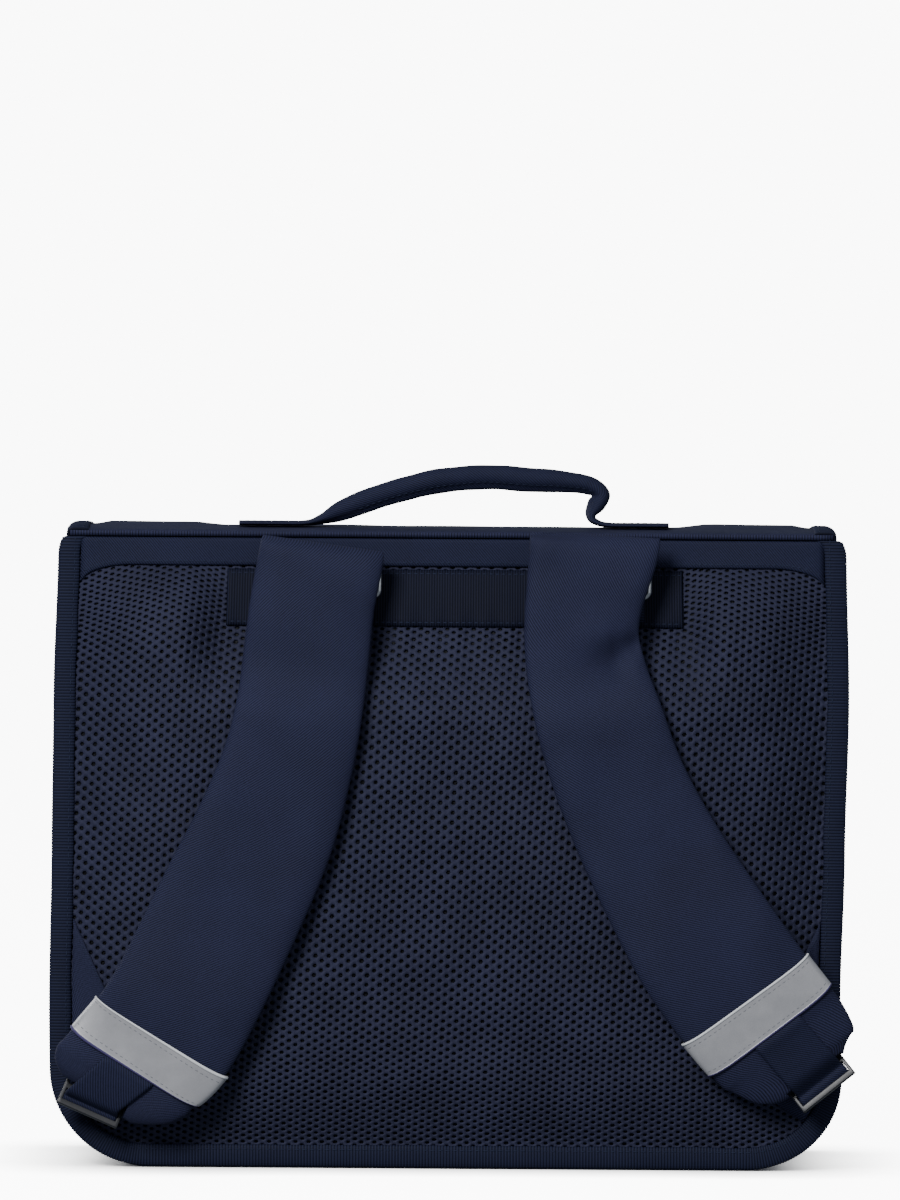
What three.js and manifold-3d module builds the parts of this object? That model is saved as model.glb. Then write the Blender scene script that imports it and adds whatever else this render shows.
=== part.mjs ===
// School ransel: a boxy, soft-walled school satchel with a padded mesh back and two padded straps.
// Millimetres. X runs to the right as the back panel is looked at, Y from the back panel to the
// flap's front, Z up. The origin is the centre of the flat base.
import * as THREE from 'three';
import { mergeVertices } from 'three/addons/utils/BufferGeometryUtils.js';
import Module from 'manifold-3d';

const wasm = await Module();
wasm.setup();

// Body
const WIDTH = 380; // across the back panel, over its binding
const HEIGHT = 302; // from the base to the seam of the back panel and the flap
const DEPTH = 150; // from the back seam to the front seam
const CORNER_R = 46; // lower corners of the back and front, over the binding
const CLEAR = 0.3; // gap between pieces that touch
const SEAM_LIFT = 0.8; // the two bound seams stand this far off the floor
const SIDE_EASE = 1.5; // unit of the soft sides' easing in and out

// Gusset
const GUSSET_T = 2.5;
const GUSSET_INSET = 5; // from the outer edge of the bindings
const GUSSET_R = 42;
const GUSSET_SAG = 4; // the side walls pull in this far between their seams
const LID_GAP = 4; // from the side walls' top edge up to the lid

// Bindings
const BIND_T = 1.2;
const BIND_FLANGE = 10.5; // the flange that shows
const BIND_RETURN = 8; // the flange turned in against the gusset

// Back panel and its pad
const BACK_T = 4; // at the seams
const PAD_CROWN = 22; // how far the pad stands proud of the seam
const PAD_MARGIN = 1.5; // flat rim between the pad and its binding
const PAD_SIDE_RUN = 88;
const PAD_SIDE_FALL = 0.6;
const PAD_BASE_RUN = 165;
const PAD_BASE_FALL = 0.6;
const PAD_TOP_RUN = 40;
const PAD_LIP = 0.08;
const PINCH = 0.68; // share of the pad's height pressed flat under the anchor band
const PINCH_SIDE_RUN = 22;
const PINCH_BASE_RUN = 46;

// Bands on the back panel
const TOP_BAND_H = 13.5;
const TOP_BAND_T = 1.5;
const TOP_BAND_DIP = 8; // the band reaches lower over the pad's rounded top corners
const TOP_BAND_DIP_RUN = 34;
const ANCHOR_DROP = 15; // from the top seam to the band's upper edge
const ANCHOR_H = 27;
const ANCHOR_W = 219;
const ANCHOR_SHIFT = 1.5; // the band's middle lies this far to the right
const ANCHOR_T = 1.5;

// Front panel
const FRONT_T = 3;
const FRONT_H = 276;
const FRONT_BULGE = 4;

// Flap
const FLAP_W = 368;
const FLAP_T = 2.5;
const FLAP_R = 40;
const FLAP_CORNER_LEAD = 5; // the fall's rows end this far before the rounded corners
const FLAP_RISE = 2; // crown of the lid over the back seam
const FLAP_DROP = 230; // from the seam down to the flap's lower edge
const FLAP_BACK = 1.5; // the flap starts this far behind the back seam's face

// Handle
const HANDLE_SPAN = 206; // from tab end to tab end
const HANDLE_SHIFT = 1;
const HANDLE_H = 28.5; // top of the grip over the lid
const HANDLE_T = 9.8; // rolled grip, top to bottom
const HANDLE_DEPTH = 11; // rolled grip, front to back
const HANDLE_TAB_DEPTH = 26;
const HANDLE_TAB_T = 2.4;
const HANDLE_BACK = 25; // from the back seam's face to the handle's middle

// Clasps
const CLASP_W = 30;
const CLASP_H = 52;
const CLASP_T = 6;
const CLASP_FOOT = 14; // how far a clasp reaches below the flap's edge
const CLASP_SPACING = 190;

// Straps
const STRAP_W = 72;
const STRAP_T = 11;
const STRAP_EASE = 1; // gap between a strap and the pad under it
const STRAP_LEAN = 0.8; // share of the pad's slope that a strap takes
const STRAP_REACH = 0.8; // share of a strap's half width that rests on the pad
const STRAP_SQUARE = 4; // squareness of a strap's section
const HANDLE_SQUARE = 2.4; // squareness of the handle's section
const TAPE_W = 20.8;
const TAPE_T = 0.9;

// Rings and their webbing
const RING_W = 58;
const RING_H = 16;
const RING_WIRE = 4;
const RING_BEND = 2.6; // radius of the wire's middle at a corner
const RING_DROP = 21; // from the top seam down to the rings' middle
const WEB_T = 1.3;
const WIDE_WEB_W = 50; // the webbing on the rings
const HANGER_LEG = 12;
const STRAP_TAB_LEG = 9;

// Buckles and their webbing
const BUCKLE_W = 31.3;
const BUCKLE_T = 2.4;
const BUCKLE_BAR = 3;
const BUCKLE_SLOT = 5.2;
const BUCKLE_RAIL = 1.9;
const BUCKLE_TILT = 20; // degrees, the lower bar stands out
const BUCKLE_REST = 1; // gap between the webbing round the upper bar and the corner tab
const LOOP_W = 26.5;
const LOOP_FROM = 75; // degrees round the buckle's bar where the loop meets it
const LAID_SHARES = [0, 0.35, 0.7]; // places of the webbing that lies on a corner tab
const LOOP_SINK = 3; // the loop's underside is cut to the strap's face from this deep

// Anchor tabs in the lower corners
const TAB_T = 1.6;
const TAB_TOP = 119; // height of the tab's upper end on the side seam
const TAB_BASE = 24; // height of its lower end
const TAB_REACH = 58; // length of its upper edge
const TAB_TIP_W = 26;
const TAB_SLOPE = 64.5; // degrees, its upper edge below the horizontal
const TAB_TIP_SLOPE = 47.5; // degrees, its tip below the horizontal
const TAB_SEWN = 0.75; // how far along the tab the webbing reaches
const TAB_SIDE_GAP = 0.6; // gap between a tab and the binding

// Easing of the soft sides by height, in shares of SIDE_EASE, outwards positive
const EASE_ROWS = [
  { up: 0, left: 0, right: 0 },
  { up: 0.27, left: 0.8, right: -1.6 },
  { up: 0.5, left: 0.3, right: -0.5 },
  { up: 0.74, left: 0, right: 0.5 },
  { up: 1, left: -1.3, right: -0.7 },
];

// The flap's inner face from the back seam to its lower front edge:
// y in shares of DEPTH from the middle, rise in shares of FLAP_RISE, drop in shares of FLAP_DROP
const FLAP_ROWS = [
  { y: -0.5, rise: 0, drop: 0 },
  { y: -0.465, rise: 0.6, drop: 0 },
  { y: -0.3, rise: 1, drop: 0 },
  { y: 0, rise: 0.75, drop: 0 },
  { y: 0.3, rise: 0, drop: 0.008 },
  { y: 0.455, rise: 0, drop: 0.036 },
  { y: 0.53, rise: 0, drop: 0.1 },
  { y: 0.553, rise: 0, drop: 0.22 },
  { y: 0.56, rise: 0, drop: 0.6 },
  { y: 0.553, rise: 0, drop: 1 },
];

// The handle from its left tab to its right tab: x in shares of HANDLE_SPAN from the middle,
// up in shares of HANDLE_H, thick and deep from tab (0) to grip (1), tilt of the section in degrees
const HANDLE_ROWS = [
  { x: -0.5, up: 0, thick: 0, deep: 0, tilt: 0 },
  { x: -0.36, up: 0, thick: 0, deep: 0, tilt: 0 },
  { x: -0.312, up: 0.07, thick: 0.25, deep: 0.55, tilt: 16 },
  { x: -0.257, up: 0.26, thick: 0.85, deep: 0.95, tilt: 22 },
  { x: -0.163, up: 0.52, thick: 0.95, deep: 1, tilt: 19 },
  { x: -0.055, up: 0.73, thick: 1, deep: 1, tilt: 13 },
  { x: 0.064, up: 0.83, thick: 1, deep: 1, tilt: 2 },
  { x: 0.18, up: 0.79, thick: 1, deep: 1, tilt: -5 },
  { x: 0.262, up: 0.75, thick: 0.85, deep: 1, tilt: -10 },
  { x: 0.318, up: 0.68, thick: 0.72, deep: 1, tilt: -32 },
  { x: 0.345, up: 0.52, thick: 0.72, deep: 1, tilt: -82 },
  { x: 0.334, up: 0.33, thick: 0.68, deep: 0.95, tilt: -112 },
  { x: 0.32, up: 0.17, thick: 0.3, deep: 0.8, tilt: -100 },
  { x: 0.33, up: 0.06, thick: 0.1, deep: 0.4, tilt: -40 },
  { x: 0.37, up: 0, thick: 0, deep: 0, tilt: 0 },
  { x: 0.5, up: 0, thick: 0, deep: 0, tilt: 0 },
];

// The straps from their folded top to their lower end: x in shares of WIDTH, z in shares of HEIGHT,
// wide in shares of STRAP_W, thick in shares of STRAP_T, top and end say how far the strap is held
// off by the ring's webbing or by the buckle's, turn slants the section, in degrees
const STRAPS = [
  {
    name: 'left',
    side: -1,
    ring: -0.1626,
    buckle: { x: -0.444, z: 0.1133, turn: -23.6 },
    loopTurn: 39,
    rows: [
      { x: -0.1609, z: 0.9931, wide: 0.818, thick: 0.4, top: 1, end: 0, turn: 0 },
      { x: -0.1638, z: 0.9684, wide: 0.827, thick: 0.9, top: 1, end: 0, turn: 0 },
      { x: -0.1742, z: 0.8954, wide: 0.827, thick: 1, top: 1, end: 0, turn: 0 },
      { x: -0.1816, z: 0.8106, wide: 0.837, thick: 1, top: 1, end: 0, turn: 0 },
      { x: -0.189, z: 0.7337, wide: 0.842, thick: 1, top: 1, end: 0, turn: 0 },
      { x: -0.2033, z: 0.6469, wide: 0.867, thick: 1, top: 0, end: 0, turn: 0 },
      { x: -0.2313, z: 0.5393, wide: 0.931, thick: 1, top: 0, end: 0, turn: 0 },
      { x: -0.2749, z: 0.4187, wide: 0.975, thick: 1, top: 0, end: 0, turn: 0 },
      { x: -0.3254, z: 0.2853, wide: 0.985, thick: 1, top: 0, end: 0.85, turn: 1.8 },
      { x: -0.361, z: 0.2094, wide: 0.994, thick: 1, top: 0, end: 1, turn: 4.8 },
      { x: -0.3973, z: 0.1584, wide: 0.966, thick: 0.9, top: 0, end: 1, turn: 12 },
      { x: -0.4114, z: 0.1412, wide: 0.959, thick: 0.85, top: 0, end: 1, turn: 20.9 },
      { x: -0.4293, z: 0.1247, wide: 0.814, thick: 0.7, top: 0, end: 1, turn: 21.8 },
      { x: -0.4429, z: 0.1128, wide: 0.562, thick: 0.5, top: 0, end: 1, turn: 20.3 },
    ],
  },
  {
    name: 'right',
    side: 1,
    ring: 0.1762,
    buckle: { x: 0.4647, z: 0.1526, turn: 38.8 },
    loopTurn: 48.5,
    rows: [
      { x: 0.1797, z: 1.0089, wide: 0.872, thick: 0.4, top: 1, end: 0, turn: 0 },
      { x: 0.1779, z: 0.9832, wide: 0.857, thick: 0.9, top: 1, end: 0, turn: 0 },
      { x: 0.1665, z: 0.9043, wide: 0.778, thick: 1, top: 1, end: 0, turn: 0 },
      { x: 0.1639, z: 0.8432, wide: 0.763, thick: 1, top: 1, end: 0, turn: 0 },
      { x: 0.1721, z: 0.7803, wide: 0.803, thick: 1, top: 1, end: 0, turn: 0 },
      { x: 0.1883, z: 0.7095, wide: 0.847, thick: 1, top: 1, end: 0, turn: 0 },
      { x: 0.2144, z: 0.6151, wide: 0.867, thick: 1, top: 0, end: 0, turn: 0 },
      { x: 0.2564, z: 0.5052, wide: 0.916, thick: 1, top: 0, end: 0, turn: 0 },
      { x: 0.3202, z: 0.3688, wide: 0.995, thick: 1, top: 0, end: 0.85, turn: 2.3 },
      { x: 0.3728, z: 0.2767, wide: 0.997, thick: 1, top: 0, end: 1, turn: -1 },
      { x: 0.4075, z: 0.2229, wide: 0.985, thick: 0.9, top: 0, end: 1, turn: -2.8 },
      { x: 0.4227, z: 0.2014, wide: 0.959, thick: 0.85, top: 0, end: 1, turn: -3.8 },
      { x: 0.4435, z: 0.1714, wide: 0.832, thick: 0.7, top: 0, end: 1, turn: -12 },
      { x: 0.4608, z: 0.1548, wide: 0.496, thick: 0.5, top: 0, end: 1, turn: -15.4 },
    ],
  },
];
const TAPE_ROW = 10; // the tape's lower edge lies at this row of a strap

// Mesh fineness
const ARC_STEPS = 9;
const SIDE_STEPS = 7;
const BASE_STEPS = 4;
const PAD_COLUMNS = 20;
const PANEL_COLUMNS = 10;
const GUSSET_STRIPS = 4;
const SECTION_SIDES = 16;
const HANDLE_SIDES = 10;
const FLAP_TURN = 7; // degrees between the flap's rows
const FLAP_STEP = 55; // most between the flap's rows
const SPAN_STEPS = 2;
const TOP_BAND_COLUMNS = 24;
const ANCHOR_COLUMNS = 14;
const FLAP_FINE_STEPS = 400;
const STRAP_PROBES = 4; // spaces between the places where a strap's height over the pad is measured
const HOOK_STEPS = 6;
const RING_SIDES = 6;
const RING_STEPS = 20;

// Colours and surfaces
const cloth = (color, roughness) => new THREE.MeshStandardMaterial({ color, roughness, metalness: 0 });
const TWILL = cloth(0x23283f, 0.85);
const MESH_CLOTH = cloth(0x2b3046, 0.9);
const GROSGRAIN = cloth(0x1d2233, 0.8);
const TAPE = cloth(0x97999c, 0.45);
const PLASTIC = cloth(0x1c1d20, 0.4);
const METAL = new THREE.MeshStandardMaterial({ color: 0xb9bcc0, roughness: 0.25, metalness: 1 });

const ransel = new THREE.Group();

// Small numbers
const clamp = THREE.MathUtils.clamp;
const lerp = THREE.MathUtils.lerp;
const rad = THREE.MathUtils.degToRad;
const rise = (share) => 1 - (1 - clamp(share, 0, 1)) ** 2;
const spread = (from, to, steps) => Array.from({ length: steps + 1 }, (_, i) => lerp(from, to, i / steps));

// Value of a table's column at a place between its rows, eased from row to row
function tableValue(rows, key, place, column) {
  const last = rows.length - 1;
  const next = Math.max(1, rows.findIndex((row, i) => row[key] >= place || i === last));
  const low = rows[next - 1];
  const high = rows[next];
  return lerp(low[column], high[column], THREE.MathUtils.smoothstep(place, low[key], high[key]));
}

// Rows of a table with more rows set smoothly between them
function smoothRows(rows, steps) {
  const keys = Object.keys(rows[0]);
  const curves = keys.map((key) => new THREE.SplineCurve(rows.map((row, i) => new THREE.Vector2(i, row[key]))));
  const count = (rows.length - 1) * steps;
  return spread(0, 1, count).map((t) => Object.fromEntries(keys.map((key, k) => [key, curves[k].getPoint(t).y])));
}

// A geometry's closed shell: positions alone, shared corners merged, faces turned outwards
function closedShell(geometry) {
  geometry.deleteAttribute('normal');
  geometry.deleteAttribute('uv');
  const shell = mergeVertices(geometry, 1e-4);
  const at = shell.attributes.position;
  const corners = Array.from(shell.index.array);
  const faces = [];
  const [a, b, c] = [new THREE.Vector3(), new THREE.Vector3(), new THREE.Vector3()];
  let volume = 0;
  for (let i = 0; i < corners.length; i += 3) {
    const [p, q, r] = corners.slice(i, i + 3);
    if (p === q || q === r || r === p) continue;
    faces.push([p, q, r]);
    volume += a.fromBufferAttribute(at, p).dot(b.fromBufferAttribute(at, q).cross(c.fromBufferAttribute(at, r)));
  }
  shell.setIndex(faces.flatMap(([p, q, r]) => (volume < 0 ? [p, r, q] : [p, q, r])));
  return shell;
}

// A geometry with each corner moved by a map from its own space to the ransel's
function bend(geometry, map) {
  const at = geometry.attributes.position;
  for (let i = 0; i < at.count; i += 1) {
    const point = map(at.getX(i), at.getY(i), at.getZ(i));
    at.setXYZ(i, point.x, point.y, point.z);
  }
  return closedShell(geometry);
}

// A section drawn in its own plane and swept through stations; map takes (station, u, v)
function sweep(section, stations, map) {
  const steps = stations.length - 1;
  const bar = new THREE.ExtrudeGeometry(section, { depth: 1, steps, bevelEnabled: false });
  return bend(bar, (u, v, t) => map(stations[Math.round(t * steps)], u, v));
}

// A slab whose rows and columns are bent to a sheet; map takes (row, column share -1 to 1, side 0 or 1)
function slab(rows, columns, map) {
  const box = new THREE.BoxGeometry(2, rows.length - 1, 1, columns, rows.length - 1, 1);
  return bend(box, (u, v, w) => map(rows[Math.round(v + (rows.length - 1) / 2)], u, w + 0.5));
}

function toSolid(geometry) {
  const shell = closedShell(geometry.clone());
  const vertProperties = new Float32Array(shell.attributes.position.array);
  const triVerts = new Uint32Array(shell.index.array);
  return new wasm.Manifold(new wasm.Mesh({ numProp: 3, vertProperties, triVerts }));
}

function fromSolid(solid) {
  const mesh = solid.getMesh();
  const geometry = new THREE.BufferGeometry();
  geometry.setAttribute('position', new THREE.BufferAttribute(new Float32Array(mesh.vertProperties), 3));
  geometry.setIndex(Array.from(mesh.triVerts));
  return geometry;
}

// One shape with others taken away, each moved a little towards the viewer to leave the gap
function cutTo(geometry, neighbours) {
  const away = neighbours.map((other) => toSolid(other.clone().translate(0, -CLEAR, 0)));
  return fromSolid(away.reduce((solid, other) => solid.subtract(other), toSolid(geometry)));
}

function add(name, geometry, material) {
  geometry.computeVertexNormals();
  const mesh = new THREE.Mesh(geometry, material);
  mesh.name = name;
  ransel.add(mesh);
  return geometry;
}

function polygon(points) {
  return new THREE.Shape(points.map(([x, y]) => new THREE.Vector2(x, y)));
}

// A closed section with flat faces and round edges, one unit to each side
function roundSection(sides, flatness) {
  const power = 2 / flatness;
  return Array.from({ length: sides }, (_, i) => {
    const angle = (2 * Math.PI * i) / sides;
    const [c, s] = [Math.cos(angle), Math.sin(angle)];
    return [Math.sign(c) * Math.abs(c) ** power, s];
  });
}

// The soft body: a point across, down from the top seam, and along the depth
function bodyPoint(across, down, y) {
  const z = HEIGHT - down;
  const column = across < 0 ? 'left' : 'right';
  const ease = SIDE_EASE * tableValue(EASE_ROWS, 'up', clamp(z / HEIGHT, 0, 1), column);
  return new THREE.Vector3(across * (1 + ease / (WIDTH / 2)), y, z);
}

const BACK_Y = -(DEPTH / 2 - BACK_T); // inner face of the back panel
const FRONT_Y = DEPTH / 2 - FRONT_T; // inner face of the front panel
const backPoint = (across, down, off) => bodyPoint(across, down, BACK_Y - off);
const frontPoint = (across, down, off) => bodyPoint(across, down, FRONT_Y + off);

// Stations of a U: down one side, round two corners and up the other side, with outward normals
function uPath(half, start, end, radius, sideRows) {
  const turn = end - radius;
  const sides = sideRows.filter((down) => down < turn);
  const left = sides.map((down) => ({ across: -half, down, outA: -1, outD: 0 }));
  const corner = spread(0, 90, ARC_STEPS).map((angle) => {
    const [outA, outD] = [-Math.cos(rad(angle)), Math.sin(rad(angle))];
    return { across: -(half - radius) + radius * outA, down: turn + radius * outD, outA, outD };
  });
  const base = spread(-(half - radius), half - radius, BASE_STEPS).slice(1, -1);
  const mirrored = (station) => ({ ...station, across: -station.across, outA: -station.outA });
  const half1 = [...left, ...corner];
  const half2 = half1.map(mirrored).reverse();
  return [...half1, ...base.map((across) => ({ across, down: end, outA: 0, outD: 1 })), ...half2];
}

// Half width of a U-shaped sheet at a place down from its open end
function halfAt(down, half, end, radius) {
  const over = clamp(down - (end - radius), 0, radius);
  return half - radius + Math.sqrt(Math.max(0, radius * radius - over * over));
}

// Rows of a sheet with round lower corners
function cornerRows(end, radius, steps) {
  return spread(0, 90, steps).slice(1).map((angle) => end - radius + radius * Math.sin(rad(angle)));
}

// Section of a folded binding: it runs round a fin that is thick units thick
function bindingSection(thick, flange, turned) {
  const [inner, outer] = [thick + CLEAR, thick + CLEAR + BIND_T];
  return polygon([
    [-flange, outer],
    [0, outer],
    [0, -CLEAR - BIND_T],
    [-turned, -CLEAR - BIND_T],
    [-turned, -CLEAR],
    [-BIND_T, -CLEAR],
    [-BIND_T, inner],
    [-flange, inner],
  ]);
}

// Pad on the back: how far its face stands proud of the seam
const PAD_HALF = WIDTH / 2 - BIND_FLANGE - PAD_MARGIN;
const PAD_R = CORNER_R - BIND_FLANGE - PAD_MARGIN;
const PAD_END = HEIGHT - SEAM_LIFT - BIND_FLANGE - PAD_MARGIN;

function padHeight(across, down) {
  const overSide = Math.max(0, Math.abs(across) - (PAD_HALF - PAD_R));
  const overBase = Math.max(0, down - (PAD_END - PAD_R));
  const edge = rise((PAD_R - Math.hypot(overSide, overBase)) / PAD_R);
  const side = 1 - PAD_SIDE_FALL * (1 - rise((PAD_HALF - Math.abs(across)) / PAD_SIDE_RUN));
  const base = 1 - PAD_BASE_FALL * (1 - rise((PAD_END - down) / PAD_BASE_RUN));
  const under = down - TOP_BAND_H;
  const head = under < 0 ? PAD_LIP * clamp(down / TOP_BAND_H, 0, 1) : lerp(PAD_LIP, 1, rise(under / PAD_TOP_RUN));
  const beside = Math.abs(across - ANCHOR_SHIFT) - ANCHOR_W / 2;
  const below = down - ANCHOR_DROP - ANCHOR_H;
  const pressed = (1 - THREE.MathUtils.smoothstep(beside, 0, PINCH_SIDE_RUN))
    * (1 - THREE.MathUtils.smoothstep(below, 0, PINCH_BASE_RUN));
  return PAD_CROWN * edge * side * base * head * (1 - PINCH * pressed);
}

const padFace = (across, down) => BACK_T + padHeight(across, down);

// Back panel: flat inside, crowned outside, with a flat rim under the binding
const PANEL_TRIM = BIND_T + CLEAR;
const panelHalf = WIDTH / 2 - PANEL_TRIM;
const panelEnd = HEIGHT - SEAM_LIFT - PANEL_TRIM;
const panelR = CORNER_R - PANEL_TRIM;
const anchorEnd = ANCHOR_DROP + ANCHOR_H;
const padRows = [
  0,
  TOP_BAND_H,
  ...spread(ANCHOR_DROP, anchorEnd, 2).slice(1),
  ...spread(anchorEnd, anchorEnd + PINCH_BASE_RUN, 3).slice(1),
  ...spread(anchorEnd + PINCH_BASE_RUN, panelEnd - panelR, 5).slice(1),
  ...cornerRows(panelEnd, panelR, 5),
  PAD_END,
].sort((a, b) => a - b);

// Place across a panel: the outermost columns follow its edge, the next ones the binding's inner edge
function panelColumn(share, down, columns) {
  const outer = halfAt(down, panelHalf, panelEnd, panelR);
  const rim = Math.min(halfAt(down, PAD_HALF, PAD_END, PAD_R), outer - PAD_MARGIN);
  const step = 2 / columns;
  if (Math.abs(share) > 1 - step / 2) return Math.sign(share) * outer;
  return (share / (1 - step)) * rim;
}

const backPanel = add('back_panel', slab(padRows, PAD_COLUMNS, (down, share, face) => {
  const across = panelColumn(share, down, PAD_COLUMNS);
  return backPoint(across, down, face ? padFace(across, down) : 0);
}), MESH_CLOTH);

// Bands across the back, cut to the pad's face
function bandOnPad(from, to, topOf, endOf, thick, columns) {
  const rows = spread(0, 1, 3);
  const blank = slab(rows, columns, (row, share, face) => {
    const across = lerp(from, to, (share + 1) / 2);
    const down = lerp(topOf(across), endOf(across), row);
    const sunk = padFace(across, down) - BACK_T / 2;
    return backPoint(across, down, face ? padFace(across, down) + CLEAR + thick : sunk);
  });
  return cutTo(blank, [backPanel]);
}

const bandHalf = WIDTH / 2 - BIND_FLANGE - 2 * CLEAR;
const bandDip = (across) => TOP_BAND_DIP
  * THREE.MathUtils.smoothstep(Math.abs(across), bandHalf - TOP_BAND_DIP_RUN, bandHalf);
add('top_band', bandOnPad(-bandHalf, bandHalf, () => CLEAR, (across) => TOP_BAND_H + bandDip(across), TOP_BAND_T, TOP_BAND_COLUMNS),
  TWILL);
add('anchor_band', bandOnPad(ANCHOR_SHIFT - ANCHOR_W / 2, ANCHOR_SHIFT + ANCHOR_W / 2, () => ANCHOR_DROP,
  () => anchorEnd, ANCHOR_T, ANCHOR_COLUMNS), GROSGRAIN);

// Bindings of the back and front panels
const seamRows = (start) => spread(start, HEIGHT - SEAM_LIFT - CORNER_R, SIDE_STEPS);
const backPath = uPath(WIDTH / 2, 0, HEIGHT - SEAM_LIFT, CORNER_R, seamRows(CLEAR));
add('back_binding', sweep(bindingSection(BACK_T, BIND_FLANGE, BIND_RETURN), backPath, (at, out, off) => (
  backPoint(at.across + out * at.outA, at.down + out * at.outD, off))), GROSGRAIN);

const frontTop = HEIGHT - FRONT_H;
const frontPath = uPath(WIDTH / 2, frontTop, HEIGHT - SEAM_LIFT, CORNER_R, seamRows(frontTop));
add('front_binding', sweep(bindingSection(FRONT_T, BIND_FLANGE, BIND_RETURN), frontPath, (at, out, off) => (
  frontPoint(at.across + out * at.outA, at.down + out * at.outD, off))), GROSGRAIN);

// Front panel: an even sheet that bulges a little inside its binding
function frontBulge(across, down) {
  const overSide = Math.max(0, Math.abs(across) - (PAD_HALF - PAD_R));
  const overBase = Math.max(0, down - (PAD_END - PAD_R));
  const edge = rise((PAD_R - Math.hypot(overSide, overBase)) / PAD_R);
  return FRONT_BULGE * edge * rise((down - frontTop) / (FRONT_H / 4));
}

const frontRows = [
  ...spread(frontTop, panelEnd - panelR, 6),
  ...cornerRows(panelEnd, panelR, 5),
  PAD_END,
].sort((a, b) => a - b);
add('front_panel', slab(frontRows, PANEL_COLUMNS, (down, share, face) => {
  const across = panelColumn(share, down, PANEL_COLUMNS);
  return frontPoint(across, down, frontBulge(across, down) + face * FRONT_T);
}), TWILL);

// Flap: a sheet along a profile in depth and height
const flapProfile = new THREE.CatmullRomCurve3(FLAP_ROWS.map(({ y, rise: up, drop }, i) => new THREE.Vector3(
  0,
  y * DEPTH - (i === 0 ? FLAP_BACK : 0),
  HEIGHT + CLEAR + up * FLAP_RISE - drop * FLAP_DROP,
)), false, 'centripetal');
flapProfile.arcLengthDivisions = FLAP_FINE_STEPS;
const flapLength = flapProfile.getLength();

function flapPoint(across, along, off) {
  const share = clamp(along / flapLength, 0, 1);
  const point = flapProfile.getPointAt(share);
  const ahead = flapProfile.getTangentAt(share);
  return new THREE.Vector3(across, point.y - ahead.z * off, point.z + ahead.y * off);
}

// Places along the flap, closer where its profile turns
function flapStations(turn, reach) {
  const places = [0];
  const fine = spread(0, 1, FLAP_FINE_STEPS);
  let last = flapProfile.getTangentAt(0);
  for (const share of fine) {
    const ahead = flapProfile.getTangentAt(share);
    const far = share * flapLength - places[places.length - 1] > reach;
    if (far || ahead.angleTo(last) > rad(turn)) {
      places.push(share * flapLength);
      last = ahead;
    }
  }
  return places;
}

const flapHalf = FLAP_W / 2;
const flapRows = flapStations(FLAP_TURN, FLAP_STEP).filter((along) => along < flapLength - FLAP_R - FLAP_CORNER_LEAD);
const flapTrim = BIND_T + CLEAR;
const flapSheetRows = [...flapRows, flapLength - FLAP_R, ...cornerRows(flapLength - flapTrim, FLAP_R - flapTrim, 5)];
add('flap', slab(flapSheetRows, PANEL_COLUMNS, (along, share, face) => {
  const half = halfAt(along, flapHalf - flapTrim, flapLength - flapTrim, FLAP_R - flapTrim);
  return flapPoint(share * half, along, face * FLAP_T);
}), TWILL);

const flapBindFrom = FLAP_BACK + BACK_T + 2 * BIND_T;
const flapBindRows = [flapBindFrom, ...flapRows.filter((along) => along > flapBindFrom + BIND_T)];
const flapPath = uPath(flapHalf, flapBindFrom, flapLength, FLAP_R, flapBindRows);
add('flap_binding', sweep(bindingSection(FLAP_T, BIND_FLANGE, BIND_FLANGE), flapPath, (at, out, off) => (
  flapPoint(at.across + out * at.outA, at.down + out * at.outD, off))), GROSGRAIN);

// Gusset: one strip down the sides and under the base, pulled in at mid-depth along the sides
const gussetHalf = WIDTH / 2 - GUSSET_INSET;
const gussetFrom = BACK_Y + 2 * CLEAR + BIND_T;
const gussetTo = FRONT_Y - 2 * CLEAR - BIND_T;
const gussetTurn = HEIGHT - GUSSET_R;
const gussetPath = uPath(gussetHalf, 0, HEIGHT, GUSSET_R, spread(0, gussetTurn, SIDE_STEPS));
const gussetEdge = spread(gussetFrom, gussetTo, GUSSET_STRIPS);
const gussetSection = polygon([
  ...gussetEdge.map((y) => [0, y]),
  ...[...gussetEdge].reverse().map((y) => [-GUSSET_T, y]),
]);

// Height of the lid's inner face at a place along the depth
function lidUnder(y) {
  const far = flapRows.map((along) => flapPoint(0, along, 0));
  const next = Math.max(1, far.findIndex((point, i) => point.y >= y || i === far.length - 1));
  const [low, high] = [far[next - 1], far[next]];
  return lerp(low.z, high.z, clamp((y - low.y) / (high.y - low.y), 0, 1));
}

add('gusset', sweep(gussetSection, gussetPath, (at, out, y) => {
  const across = at.across + out * at.outA;
  const top = Math.max(CLEAR, HEIGHT - (lidUnder(y) - LID_GAP));
  const down = at.down < gussetTurn ? lerp(top, gussetTurn, at.down / gussetTurn) : at.down;
  const middle = Math.sin((Math.PI * (y - gussetFrom)) / (gussetTo - gussetFrom));
  const sag = GUSSET_SAG * middle * Math.sin(Math.PI * clamp(at.down / HEIGHT, 0, 1)) * Math.abs(at.outA);
  return bodyPoint(across - Math.sign(across) * sag, down + out * at.outD, y);
}), TWILL);

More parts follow.
